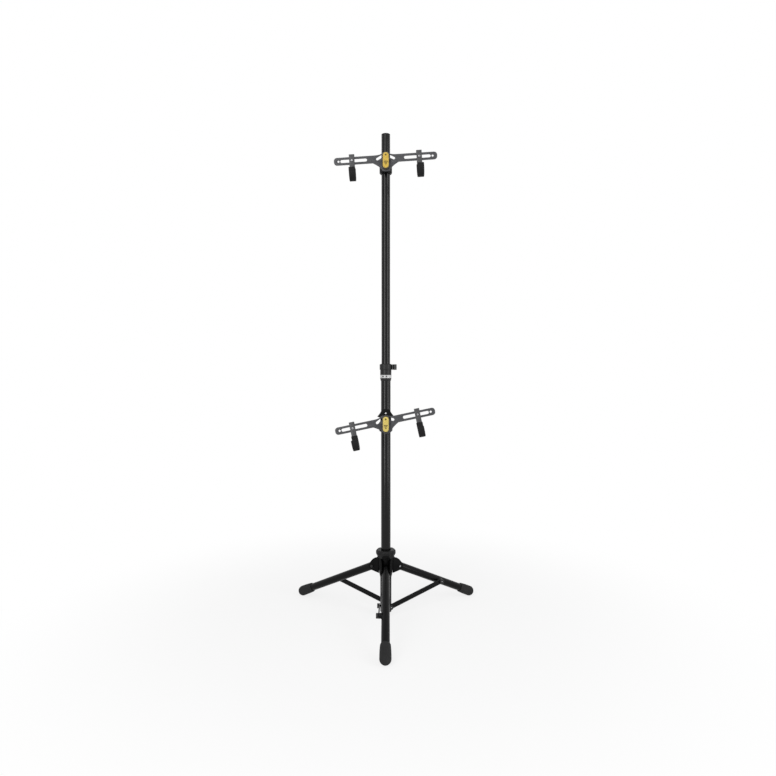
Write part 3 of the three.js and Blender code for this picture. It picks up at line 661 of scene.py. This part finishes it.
def build_lever(at):
    """A short cam lever: two cheeks round the bolt's eye, joined by a web along the grip."""
    barrel, grip, reach = 9, 14, 45
    fork_inner, fork_outer = 3.8, 12
    web_root, web_corner = -5.8, -8
    pin_hole = 2.8
    inner = barrel - grip
    outline = arc((0, 0), barrel, 0, 180, 20)
    outline += curved((-barrel, 0), (-barrel, -barrel), (inner, -2 * barrel), 10)
    outline += arc((inner + grip / 2, grip / 2 - reach), grip / 2, 180, 360, 16)
    web = [point for point in outline if point[1] < web_root]
    web = [(web_corner, web_root), *web, (barrel, web_root)]
    web_half = fork_inner + 0.1
    eye = circle((0, 0), pin_hole, 24)
    solid = together(
        plate(outline, [eye], fork_inner, fork_outer, ease=1.6, ease_low=0.3),
        plate(outline, [eye], -fork_outer, -fork_inner, ease=0.3, ease_low=1.6),
        plate(web, (), -web_half, web_half, ease=0.1),
    )
    piece("clamp_lever", solid, column @ at, lever_plastic)


def band_plastic(radius, height):
    """Light grey plastic with two dark setting dots at its front."""
    azimuths_and_radii = ((-120, 3.6), (-84, 3.4))
    soft_edge = 0.6
    finish = Finish("collar band", roughness=0.42, specular=0.4, coat=0.15)
    place = finish.place()
    cloud = finish.noise(scale=40, detail=3.0)
    colour = finish.mix(cloud.above(0.5, 0.5), (0.55, 0.55, 0.55), (0.45, 0.45, 0.45))
    for azimuth, dot_radius in azimuths_and_radii:
        turn = math.radians(azimuth)
        dot = (
            (column_x + radius * math.cos(turn)) * MM,
            (column_y + radius * math.sin(turn)) * MM,
            height * MM,
        )
        away = finish.node(
            "ShaderNodeVectorMath", {"operation": "DISTANCE"}, {0: place, 1: dot}, output="Value"
        )
        outside = away.above(dot_radius * MM, soft_edge * MM)
        colour = finish.mix(outside, (0.03, 0.03, 0.03), colour)
    finish.feed("Base Color", colour)
    finish.feed("Roughness", cloud * 0.15 + 0.34)
    return finish.material


# Bolts


def domed_profile(shank, tail, face, radius, height, ease, socket=0.0):
    """A bolt's outline along its own axis: the head stands beyond face, and the shank ends at tail."""
    outer = face + height
    crown = radius - 1.6 * ease
    socket_floor = outer - height * 0.45
    outline = [(0, tail), (shank, tail), (shank, face), (radius, face), (radius, outer - ease)]
    outline += curved((radius, outer - ease), (radius, outer), (crown, outer), 5)
    if socket:
        return [*outline, (socket, outer), (socket, socket_floor), (0, socket_floor)]
    return [*outline, (0, outer)]


def head_to_front(solid):
    """Turns a bolt drawn upwards so that its head points to -Y."""
    return moved(solid, turned_about("X", 90))


# Tripod. Its pivots and feet are placed by radius and azimuth about the column, seen from above
LEG_AZIMUTHS = {"front": -90, "right": 30, "left": 150}
pivot_radius, pivot_height = 57, 209.4
foot_radius, foot_height = 450, 22
leg_run, leg_drop = foot_radius - pivot_radius, pivot_height - foot_height
leg_slope = math.degrees(math.atan2(leg_drop, leg_run))
leg_length = math.hypot(leg_run, leg_drop)
leg_outer, leg_bore = 16.5, 14.7
leg_head, leg_head_wall = 13, 3
leg_end = leg_length - 10
strut_foot_radius, strut_foot_height = 6.5, 40.4
strut_along_leg = 239
strut_head_radius = pivot_radius + strut_along_leg * math.cos(math.radians(leg_slope))
strut_head_height = pivot_height - strut_along_leg * math.sin(math.radians(leg_slope))
strut_run = strut_head_radius - strut_foot_radius
strut_rise = strut_head_height - strut_foot_height
strut_length = math.hypot(strut_run, strut_rise)
strut_slope = math.degrees(math.atan2(strut_rise, strut_run))
strut_width = 22
strut_inner, strut_outer = 25.3, 29.3
bolt_hole = 4.3
hub_foot, hub_waist, hub_body, hub_neck = 24.1, 29, 31.5, 26
cheek_inner, cheek_outer, cheek_face = 17, 21.6, 22
cheek_end = 18
pad_radius, pad_depth = 10.5, 1
boot_length, boot_radius = 63, 22.25


def cheek_outline(bottom):
    """A cheek of a hub yoke seen from the side: distance from the column, then height."""
    root = 24
    top, foot = bottom + 86, bottom + 20
    pivot = (pivot_radius, pivot_height)
    away_x, away_z = root - pivot_radius, foot - pivot_height
    direction = math.atan2(away_z, away_x)
    touch = math.degrees(direction + math.acos(cheek_end / math.hypot(away_x, away_z)))
    outline = [(root, top), (root, foot)]
    outline += arc(pivot, cheek_end, touch, 45, 32)
    outline += curved(outline[-1], (50, top), (34, top), 14)
    return outline


def build_hub():
    """A collar that slides on the lower tube, with a yoke of two cheeks for each leg."""
    low, high = span("hub")
    bottom = low.z
    shoulder = bottom + 86.5
    profile = [
        (lower_radius + gap, bottom),
        (hub_foot, bottom),
        (hub_waist, bottom + 22),
        (hub_body, bottom + 50),
        (hub_body, shoulder),
        (hub_neck, shoulder),
        (hub_neck, high.z),
        (lower_radius + gap, high.z),
    ]
    parts = [revolved(rounded(profile, radius=1.6, sharp=5), sides=72)]
    outline = cheek_outline(bottom)
    bore = circle((pivot_radius, pivot_height), bolt_hole, 28)
    pad = circle((pivot_radius, pivot_height), pad_radius, 36)
    for azimuth in LEG_AZIMUTHS.values():
        for side in (1, -1):
            cheek_span = sorted((side * cheek_inner, side * cheek_outer))
            pad_span = sorted((side * (cheek_face - pad_depth), side * cheek_face))
            cheek = together(
                plate(outline, [bore], *cheek_span, ease=1.1),
                plate(pad, [bore], *pad_span, ease=0.4),
            )
            parts.append(moved(cheek, turned_about("Z", azimuth) @ TO_BACK))
    piece("hub", together(*parts), column, hub_paint)


def build_lock_ring():
    """A flared ring over the hub's neck, with finger notches round its rim."""
    low, high = span("hub_lock_ring")
    foot, rim, top = 33, 42.5, 38
    flare_end = low.z + 19
    rim_height = 10
    neck_end = low.z + 18
    profile = [
        (hub_neck + gap, low.z),
        (foot, low.z),
        (rim, flare_end),
        (rim, flare_end + rim_height),
        (top, high.z),
        (lower_radius + gap, high.z),
        (lower_radius + gap, neck_end),
        (hub_neck + gap, neck_end),
    ]
    notch_spacing, notch_half_angle, notch_depth = 36, 7, 2.2

    def notched(radius, turn):
        """Draws the outer wall in at each finger notch."""
        if radius < foot + 1:
            return radius
        from_notch = (math.degrees(turn) % notch_spacing) - notch_spacing / 2
        return radius - notch_depth * max(0.0, 1 - (from_notch / notch_half_angle) ** 2)

    solid = revolved(rounded(profile, radius=2, sharp=14), sides=180, shape=notched)
    piece("hub_lock_ring", solid, column, black_plastic)


def build_leg(name, azimuth):
    """A leg's tube, closed at its head, with a welded boss for the strut, a boot and its pivot bolt."""
    stand = column @ turned_about("Z", azimuth)
    leg = stand @ shifted(pivot_radius, 0, pivot_height) @ turned_about("Y", leg_slope)
    bore_end = leg_head_wall - leg_head
    profile = [
        (0, -leg_head),
        (leg_outer, -leg_head),
        (leg_outer, leg_end),
        (leg_bore, leg_end),
        (leg_bore, bore_end),
        (0, bore_end),
    ]
    shell = moved(revolved(eased_profile(profile, reach=3.2, steps=4), sides=56), ALONG_X)
    boss_radius, boss_root = 11, 13
    weld_radius, weld_root, weld_end = 13, 14, 18.4
    boss = rod(boss_radius, boss_root, strut_inner - gap, ease=0.8, sides=40)
    bead = [(weld_radius, weld_root), (12.2, 17), (boss_radius, weld_end)]
    weld = revolved([(0, weld_root), *bead, (0, weld_end)], sides=40)
    at_strut = shifted(strut_along_leg)
    lugs = [moved(head_to_front(lug), at_strut) for lug in (boss, weld)]
    piece(f"{name}_leg", together(shell, *lugs), leg, black_paint)
    build_boot(name, leg)
    build_leg_bolt(name, leg)
    build_strut(name, stand)


def build_leg_bolt(name, leg):
    """The bolt through a yoke, with its nut, and a steel rivet in the middle of its black cap."""
    nut_radius, nut_height = 7, 4
    face = cheek_face + gap
    bolt = revolved(
        domed_profile(shank=4, tail=-face, face=face, radius=7, height=4, ease=1.8, socket=3.8), sides=32
    )
    nut = plate(hexagon((0, 0), nut_radius), (), -face - nut_height, -face, ease=0.6)
    rivet = revolved(
        domed_profile(shank=3.6, tail=face + 1, face=face + 2.2, radius=3.6, height=2, ease=1), sides=24
    )
    piece(
        f"{name}_leg_bolt",
        head_to_front(together(bolt, nut)),
        leg,
        cap_plastic,
        extra=[(head_to_front(rivet), leg, steel)],
    )


def build_boot(name, leg):
    """A thick rubber boot: a rolled rim, a swollen body and a round end cut flat on the floor."""
    rim = leg_length - boot_length
    bore = leg_outer + gap
    bore_end = leg_end + gap
    roll, neck, belly = (17.6, rim), (20.4, rim + 5), (21.9, rim + 29)
    outline = [(bore, rim + 0.8), (17.2, rim), roll]
    outline += curved(roll, (20.1, rim + 1.5), neck, 6)
    outline += curved(neck, (21.6, rim + 22), belly, 8)
    outline += curved(belly, (boot_radius, rim + 44), (boot_radius, leg_length), 8)
    outline += arc((0, leg_length), boot_radius, 5, 85, 16)
    outline += [(0, leg_length + boot_radius), (0, bore_end), (bore, bore_end)]
    corners, faces = moved(revolved(outline, sides=72), leg @ ALONG_X)
    corners = [(x, y, max(z, 0.0)) for x, y, z in corners]
    piece(f"{name}_leg_boot", (corners, faces), Matrix.Identity(4), boot_rubber, smooth=SOFT_ANGLE)


def build_strut(name, stand):
    """A flat bar from the sleeve to the leg, and the capped bolts at its two ends."""
    bar = stand @ shifted(strut_foot_radius, 0, strut_foot_height) @ turned_about("Y", -strut_slope)
    outline = stadium((strut_length / 2, 0), strut_length + strut_width, strut_width, steps=20)
    holes = [circle((along, 0), bolt_hole, 24) for along in (0, strut_length)]
    flat = moved(plate(outline, holes, -strut_outer, -strut_inner, ease=1.1), TO_BACK)
    piece(f"{name}_strut", flat, bar, black_paint)
    face = strut_outer + gap
    rivet = revolved(
        domed_profile(shank=3.4, tail=face + 3, face=face + 4.4, radius=3.4, height=2.4, ease=1), sides=24
    )
    tail_at_sleeve = 21.7
    for end, along, tail in (("upper", strut_length, strut_inner), ("lower", 0, tail_at_sleeve)):
        bolt = revolved(
            domed_profile(shank=4, tail=tail, face=face, radius=10.5, height=8, ease=1.8, socket=3.6),
            sides=40,
        )
        place = bar @ shifted(along)
        piece(
            f"{name}_strut_{end}_bolt",
            head_to_front(bolt),
            place,
            cap_plastic,
            extra=[(head_to_front(rivet), place, steel)],
        )


# Arms. Each is drawn about its tilt axis, and depths are in front of the column's axis
ARMS = {
    "upper": {
        "tilt": 3.73,
        "tube": "upper_tube",
        "spine_top": 38,
        "screw_height": 27,
        "cover_colours": ((0.5, 0.34, 0.045), (0.44, 0.29, 0.035)),
    },
    "lower": {
        "tilt": 11.9,
        "tube": "lower_tube",
        "spine_top": 54,
        "screw_height": 45,
        "cover_colours": ((0.55, 0.44, 0.11), (0.5, 0.39, 0.09)),
    },
}
arm_rise = 13
arm_half_length, arm_half_width, arm_corner = 215, 15.75, 13
arm_top, arm_bottom = arm_rise + arm_half_width, arm_rise - arm_half_width
pivot_hole = 6.3
hook_distance = 140
hook_middle, hook_bend, hook_drop = 54.3, 29, -45
liner_room, carriage_wall, bore_skin = 3.1, 5, 3
carriage_low, carriage_high = -32, 4
carriage_middle = (carriage_low + carriage_high) / 2
pad_front = 30.7
boss_end = 42
plate_back, plate_front = 31.0, 36.0
plate_bottom = -30
arm_back, arm_front = 48.0, 52.0
cover_back = 52.3


def arm_height(tier):
    """The height of an arm's tilt axis."""
    low, high = span(f"{tier}_tilt_bolt")
    return (low.z + high.z) / 2


def arm_outline():
    """A bar with round corners, a crown above its middle and a rounded tail below it."""
    waist, waist_height, tail = 17, -33, -39
    crown, crown_height = 14, 38
    skirt = [(54, arm_bottom), *curved((54, arm_bottom), (24.5, -18.6), (waist, waist_height), 14)]
    tail_side = curved((waist, waist_height), (waist, tail), (0, tail), 12)
    shoulder = curved((50, arm_top), (crown, arm_top), (crown, crown_height), 12)
    corner_x = arm_half_length - arm_corner
    end = arc((corner_x, arm_bottom + arm_corner), arm_corner, -90, 0)
    end += arc((corner_x, arm_top - arm_corner), arm_corner, 0, 90)
    right = [*reversed(tail_side[:-1]), *reversed(skirt), *end, (50, arm_top), *shoulder]
    return [*right, *mirrored(right), (0, tail)]


def build_arm(tier, pivot):
    """The slotted plate and its two hooks, tilted together."""
    slot_x, slot_length, slot_width = 132.5, 111, 13
    end_hole_x, end_hole_radius = 196, 4.5
    window_x, window_z, window_length, window_width, window_angle = 24.5, 18.5, 33, 11, 28
    tilted = pivot @ turned_about("Y", -ARMS[tier]["tilt"])
    holes = [circle((0, 0), pivot_hole)]
    for side in (-1, 1):
        holes.append(stadium((side * slot_x, arm_rise), slot_length, slot_width))
        holes.append(circle((side * end_hole_x, arm_rise), end_hole_radius, 24))
        window = (side * window_x, window_z)
        holes.append(stadium(window, window_length, window_width, -side * window_angle))
    flat = moved(plate(arm_outline(), holes, -arm_front, -arm_back, ease=0.5), TO_BACK)
    piece(f"{tier}_arm", flat, tilted, grey_paint)
    for name, side in (("left", -1), ("right", 1)):
        build_hook(f"{tier}_{name}_hook", tilted @ shifted(side * hook_distance))


def hook_outline(half, top_points, tip):
    """The bent strip seen from the side: distance forwards, then height."""
    centre = (hook_middle + hook_bend, hook_drop)
    outer, inner = hook_bend + half, hook_bend - half
    loop = arc(centre, outer, 180, 360, 32)
    loop += [(centre[0] + outer, tip), (centre[0] + inner, tip)]
    loop += arc(centre, inner, 360, 180, 32)
    return loop + top_points


def build_hook(node, at):
    """A bent strip that hangs over the arm's top edge, its rubber grip, and its screw with a nut."""
    strip_half, strip_half_width = 2, 11.3
    lip_back, lip_front, lip_foot, lip_top = 43.7, 47.7, 20, 39
    strip_front, strip_back = hook_middle + strip_half, hook_middle - strip_half
    over_arm = arm_top + gap
    lip = [
        (strip_front, lip_top),
        (lip_back, lip_top),
        (lip_back, lip_foot),
        (lip_front, lip_foot),
        (lip_front, over_arm),
        (strip_back, over_arm),
    ]
    strip = rounded(hook_outline(strip_half, lip, tip=-37), radius=3, sharp=60)
    solid = moved(plate(strip, (), -strip_half_width, strip_half_width, ease=0.5), TO_RIGHT)
    piece(node, solid, at, hook_paint)
    grip_half, grip_half_width, grip_top = 6, 13.5, -20
    grip_ends = [(hook_middle + grip_half, grip_top), (hook_middle - grip_half, grip_top)]
    grip = rounded(hook_outline(grip_half, grip_ends, tip=-32), radius=4, sharp=60)
    sleeve = moved(plate(grip, (), -grip_half_width, grip_half_width, ease=2.6, steps=5), TO_RIGHT)
    piece(node + "_grip", sleeve, at, grip_rubber, smooth=SOFT_ANGLE)
    nut_radius, nut_height = 6.2, 5
    nut_back = lip_front - nut_height
    face = strip_front + gap
    screw = revolved(
        domed_profile(shank=3, tail=nut_back, face=face, radius=4.6, height=2.8, ease=1.6, socket=1.7),
        sides=28,
    )
    nut = plate(hexagon((0, 0), nut_radius), (), nut_back, lip_front, ease=0.5)
    piece(node + "_screw", head_to_front(together(screw, nut)), at @ shifted(z=arm_rise), steel)


def plain_plate_outline():
    """The right half of a plain backplate, from its bottom edge to its top."""
    side, top, corner = 18, 36, 7
    return [
        (side, plate_bottom),
        (side, top - corner),
        *curved((side, top - corner), (side, top), (side - corner, top), 8),
    ]


def bell_plate_outline():
    """The right half of a backplate with a bell on its top, from its bottom edge to its top."""
    waist, shoulder, wing, wing_height = 23, 26, 36.5, 31
    crown, crown_foot, top, corner = 19, 55, 62, 7
    return [
        (waist, plate_bottom),
        (waist, shoulder),
        (wing, wing_height),
        *curved((wing, wing_height), (28, 40), (crown, crown_foot), 12),
        *curved((crown, crown_foot), (crown, top), (crown - corner, top), 8),
    ]


def build_carriage(tier, pivot):
    """The clamp body: a ring round the liner, a block and a spine in front, and a boss for the knob."""
    bore = half_width(ARMS[tier]["tube"]) + liner_room
    wall = bore + carriage_wall
    ring = tube(wall, bore, carriage_low, carriage_high, ease=1.6, sides=72)
    block_half, spine_half, boss_radius = 17, 10, 11
    sunk = 3
    flank = math.sqrt(wall * wall - block_half * block_half) - sunk
    pad = rounded(rectangle(-block_half, -pad_front, block_half, -flank), radius=2)
    block = plate(pad, (), carriage_low, carriage_high, ease=1.4)
    rib = rounded(rectangle(-spine_half, -pad_front, spine_half, -bore - bore_skin), radius=1)
    spine = plate(rib, (), carriage_low, ARMS[tier]["spine_top"], ease=1.2)
    boss = rod(boss_radius, wall - sunk, boss_end, ease=1.2, sides=40)
    boss = moved(boss, shifted(z=carriage_middle) @ ALONG_Y)
    piece(f"{tier}_carriage", together(ring, block, spine, boss), pivot, black_plastic)
    kept(f"{tier}_liner", black_plastic)
    build_knob(tier, pivot, bore)
    build_backplate(tier, pivot, bore)


def build_knob(tier, pivot, bore):
    """A knob with six soft lobes, on a stud that presses on the liner."""
    radius, lobe_count, lobe_height, points = 18, 6, 2.2, 120
    knob_depth, stud_radius, stud_reach = 20, 4, 10
    knob_start = boss_end + gap
    outline = []
    for i in range(points):
        turn = 2 * math.pi * i / points
        reach = radius + lobe_height * math.cos(lobe_count * turn)
        outline.append((reach * math.cos(turn), reach * math.sin(turn)))
    knob = together(
        plate(outline, (), knob_start, knob_start + knob_depth, ease=3, steps=4),
        rod(stud_radius, bore, boss_end + stud_reach),
    )
    piece(f"{tier}_clamp_knob", moved(knob, TO_BACK), pivot @ shifted(z=carriage_middle), black_plastic)


def build_backplate(tier, pivot, bore):
    """The plate that the arm turns on: its boss carries the arm, and a screw holds it to the spine."""
    screw_height = ARMS[tier]["screw_height"]
    screw_hole, boss_radius = 2.7, 18
    right = plain_plate_outline() if tier == "upper" else bell_plate_outline()
    holes = [circle((0, 0), pivot_hole), circle((0, screw_height), screw_hole, 20)]
    flat = plate([*right, *mirrored(right)], holes, -plate_front, -plate_back, ease=0.9)
    boss = moved(rod(boss_radius, plate_front - 1, arm_back - gap, ease=0.8, sides=56), UPSIDE_DOWN)
    piece(f"{tier}_backplate", moved(together(flat, boss), TO_BACK), pivot, black_paint)
    face = plate_front + gap
    screw = revolved(
        domed_profile(
            shank=2.4, tail=bore + bore_skin, face=face, radius=4.2, height=2.6, ease=1.5, socket=1.6
        ),
        sides=28,
    )
    piece(f"{tier}_backplate_screw", head_to_front(screw), pivot @ shifted(z=screw_height), bright_steel)
    kept(f"{tier}_tilt_bolt", steel)


def cover_plastic(name, colour, faded, centre, half_straight, radius):
    """Yellow plastic with painted shade: the cover's edge is painted dark brown, as shade round its rim."""
    finish = Finish(name, roughness=0.36, specular=0.4, coat=0.08, coat_roughness=0.2)
    place = finish.place()
    across, along = (
        finish.node("ShaderNodeSeparateXYZ", sockets={0: place}, output=axis) - middle * MM
        for axis, middle in (("X", centre.x), ("Z", centre.z))
    )
    past = (along.math("ABSOLUTE") - half_straight * MM).math("MAXIMUM", 0.0)
    distance = (across * across + past * past).math("SQRT") / (radius * MM)
    cloud = finish.noise(scale=30, detail=3.0)
    grain = finish.noise(scale=1100)
    # Painted shade: the cover is darkened to dark brown towards its edge, standing in for shade round its
    # rim.
    painted_edge_shade = (distance + (cloud - 0.5) * 0.04).above(0.79, 0.1)
    body = finish.mix(cloud.above(0.5, 0.6), colour, faded)
    finish.feed("Base Color", finish.mix(painted_edge_shade, body, (0.035, 0.027, 0.01)))
    finish.feed("Roughness", grain * 0.1 + cloud * 0.1 + 0.27)
    finish.bump(grain, strength=0.2, distance=0.1 * MM)
    return finish.material


def build_cover(tier, pivot):
    """A round-ended cover over the pivot, with three short bars and a dot raised on its front."""
    low, high = span(f"{tier}_cover")
    width, height = high.x - low.x, high.z - low.z
    front = cover_back + high.y - low.y
    centre = (low + high) / 2
    rise = centre.z - arm_height(tier)
    mark_height, mark_depth, mark_width = 0.5, 1.5, 3.4
    bar_drop, bar_spacing, longest_bar, bar_step, dot_rise = 5, 5.5, 18, 5, 21
    outline = stadium((0, rise), height, width, angle=90, steps=28)
    shell = plate(outline, (), mark_height - front, -cover_back, ease=0.4, ease_low=4.2, steps=6)
    marks = [
        stadium((0, rise - bar_drop - bar_spacing * i), longest_bar - bar_step * i, mark_width, steps=8)
        for i in range(3)
    ]
    marks.append(circle((0, rise + dot_rise), mark_width))
    raised = together(*(plate(mark, (), -front, mark_depth - front, ease=0.4) for mark in marks))
    colours = ARMS[tier]["cover_colours"]
    finish = cover_plastic(
        f"{tier} cover plastic", *colours, centre, half_straight=(height - width) / 2, radius=width / 2
    )
    piece(
        f"{tier}_cover",
        moved(shell, TO_BACK),
        pivot,
        finish,
        extra=[(moved(raised, TO_BACK), pivot, rib_plastic)],
    )


def build_arms():
    for tier in ARMS:
        pivot = column @ shifted(z=arm_height(tier))
        build_carriage(tier, pivot)
        build_cover(tier, pivot)
        build_arm(tier, pivot)


build_column()
build_collar()
build_hub()
build_lock_ring()
for leg_name, leg_azimuth in LEG_AZIMUTHS.items():
    build_leg(leg_name, leg_azimuth)
build_arms()


# Studio. Lamps, the world and the floor are in metres


def soft_box(name, azimuth, distance, height, size, power, level):
    """A lamp panel that faces the column, placed by its angle from the camera's side.

    A level panel hangs upright instead of aiming down at the column's middle.
    """
    aim_height = 1.0
    data = bpy.data.lights.new(name, "AREA")
    data.shape = "RECTANGLE"
    data.size, data.size_y = size
    data.energy = power
    lamp = bpy.data.objects.new(name, data)
    bpy.context.scene.collection.objects.link(lamp)
    turn = math.radians(azimuth)
    target = Vector((column_x * MM, column_y * MM, aim_height))
    lamp.location = Vector((
        target.x + distance * math.sin(turn),
        target.y - distance * math.cos(turn),
        height,
    ))
    aim = target - lamp.location
    if level:
        aim.z = 0
    lamp.rotation_euler = aim.to_track_quat("-Z", "Y").to_euler()
    lamp.visible_camera = False


def build_world():
    """White where the camera sees it, and a dimmer light on the tower."""
    ambient = 0.4
    world = bpy.data.worlds.new("studio")
    bpy.context.scene.world = world
    world.use_nodes = True
    nodes = Nodes(world.node_tree)
    background = world.node_tree.nodes["Background"]
    background.inputs["Color"].default_value = (1, 1, 1, 1)
    strength = nodes.seen_ray() * (1 - ambient) + ambient
    world.node_tree.links.new(strength.socket, background.inputs["Strength"])


def build_floor():
    """A wide pale floor, nearly white to the camera, that keeps the tripod's soft shadow."""
    reach = 30.0
    near_glow = 0.8
    drop = 0.5 * MM
    mesh = bpy.data.meshes.new("floor")
    mesh.from_pydata([(x, y, 0) for x, y in rectangle(-reach, -reach, reach, reach)], [], [(0, 1, 2, 3)])
    floor = bpy.data.objects.new("floor", mesh)
    bpy.context.scene.collection.objects.link(floor)
    floor.location.z = -drop
    material = bpy.data.materials.new("pale floor")
    material.use_nodes = True
    material.node_tree.nodes.clear()
    nodes = Nodes(material.node_tree)
    place = nodes.place()
    distance = nodes.node("ShaderNodeVectorMath", {"operation": "LENGTH"}, {0: place}, output="Value")
    far = distance.above(level=1.1, width=1.2)
    share = nodes.seen_ray() * (far * (1 - near_glow) + near_glow)
    paint = nodes.node("ShaderNodeBsdfDiffuse", sockets={"Color": (0.88, 0.88, 0.88, 1)})
    glow = nodes.node("ShaderNodeEmission", sockets={"Color": (1, 1, 1, 1)})
    blend = nodes.node("ShaderNodeMixShader", sockets={0: share, 1: paint, 2: glow})
    nodes.node("ShaderNodeOutputMaterial", sockets={"Surface": blend})
    mesh.materials.append(material)


build_world()
build_floor()
soft_box("left strip", azimuth=-28, distance=3.4, height=1.75, size=(0.9, 3.5), power=64, level=True)
soft_box("right strip", azimuth=56, distance=3.2, height=1.75, size=(0.9, 3.5), power=56, level=True)
soft_box("top panel", azimuth=-15, distance=2.4, height=3.9, size=(2.4, 1.8), power=22, level=False)

bpy.context.scene.view_settings.view_transform = "Standard"
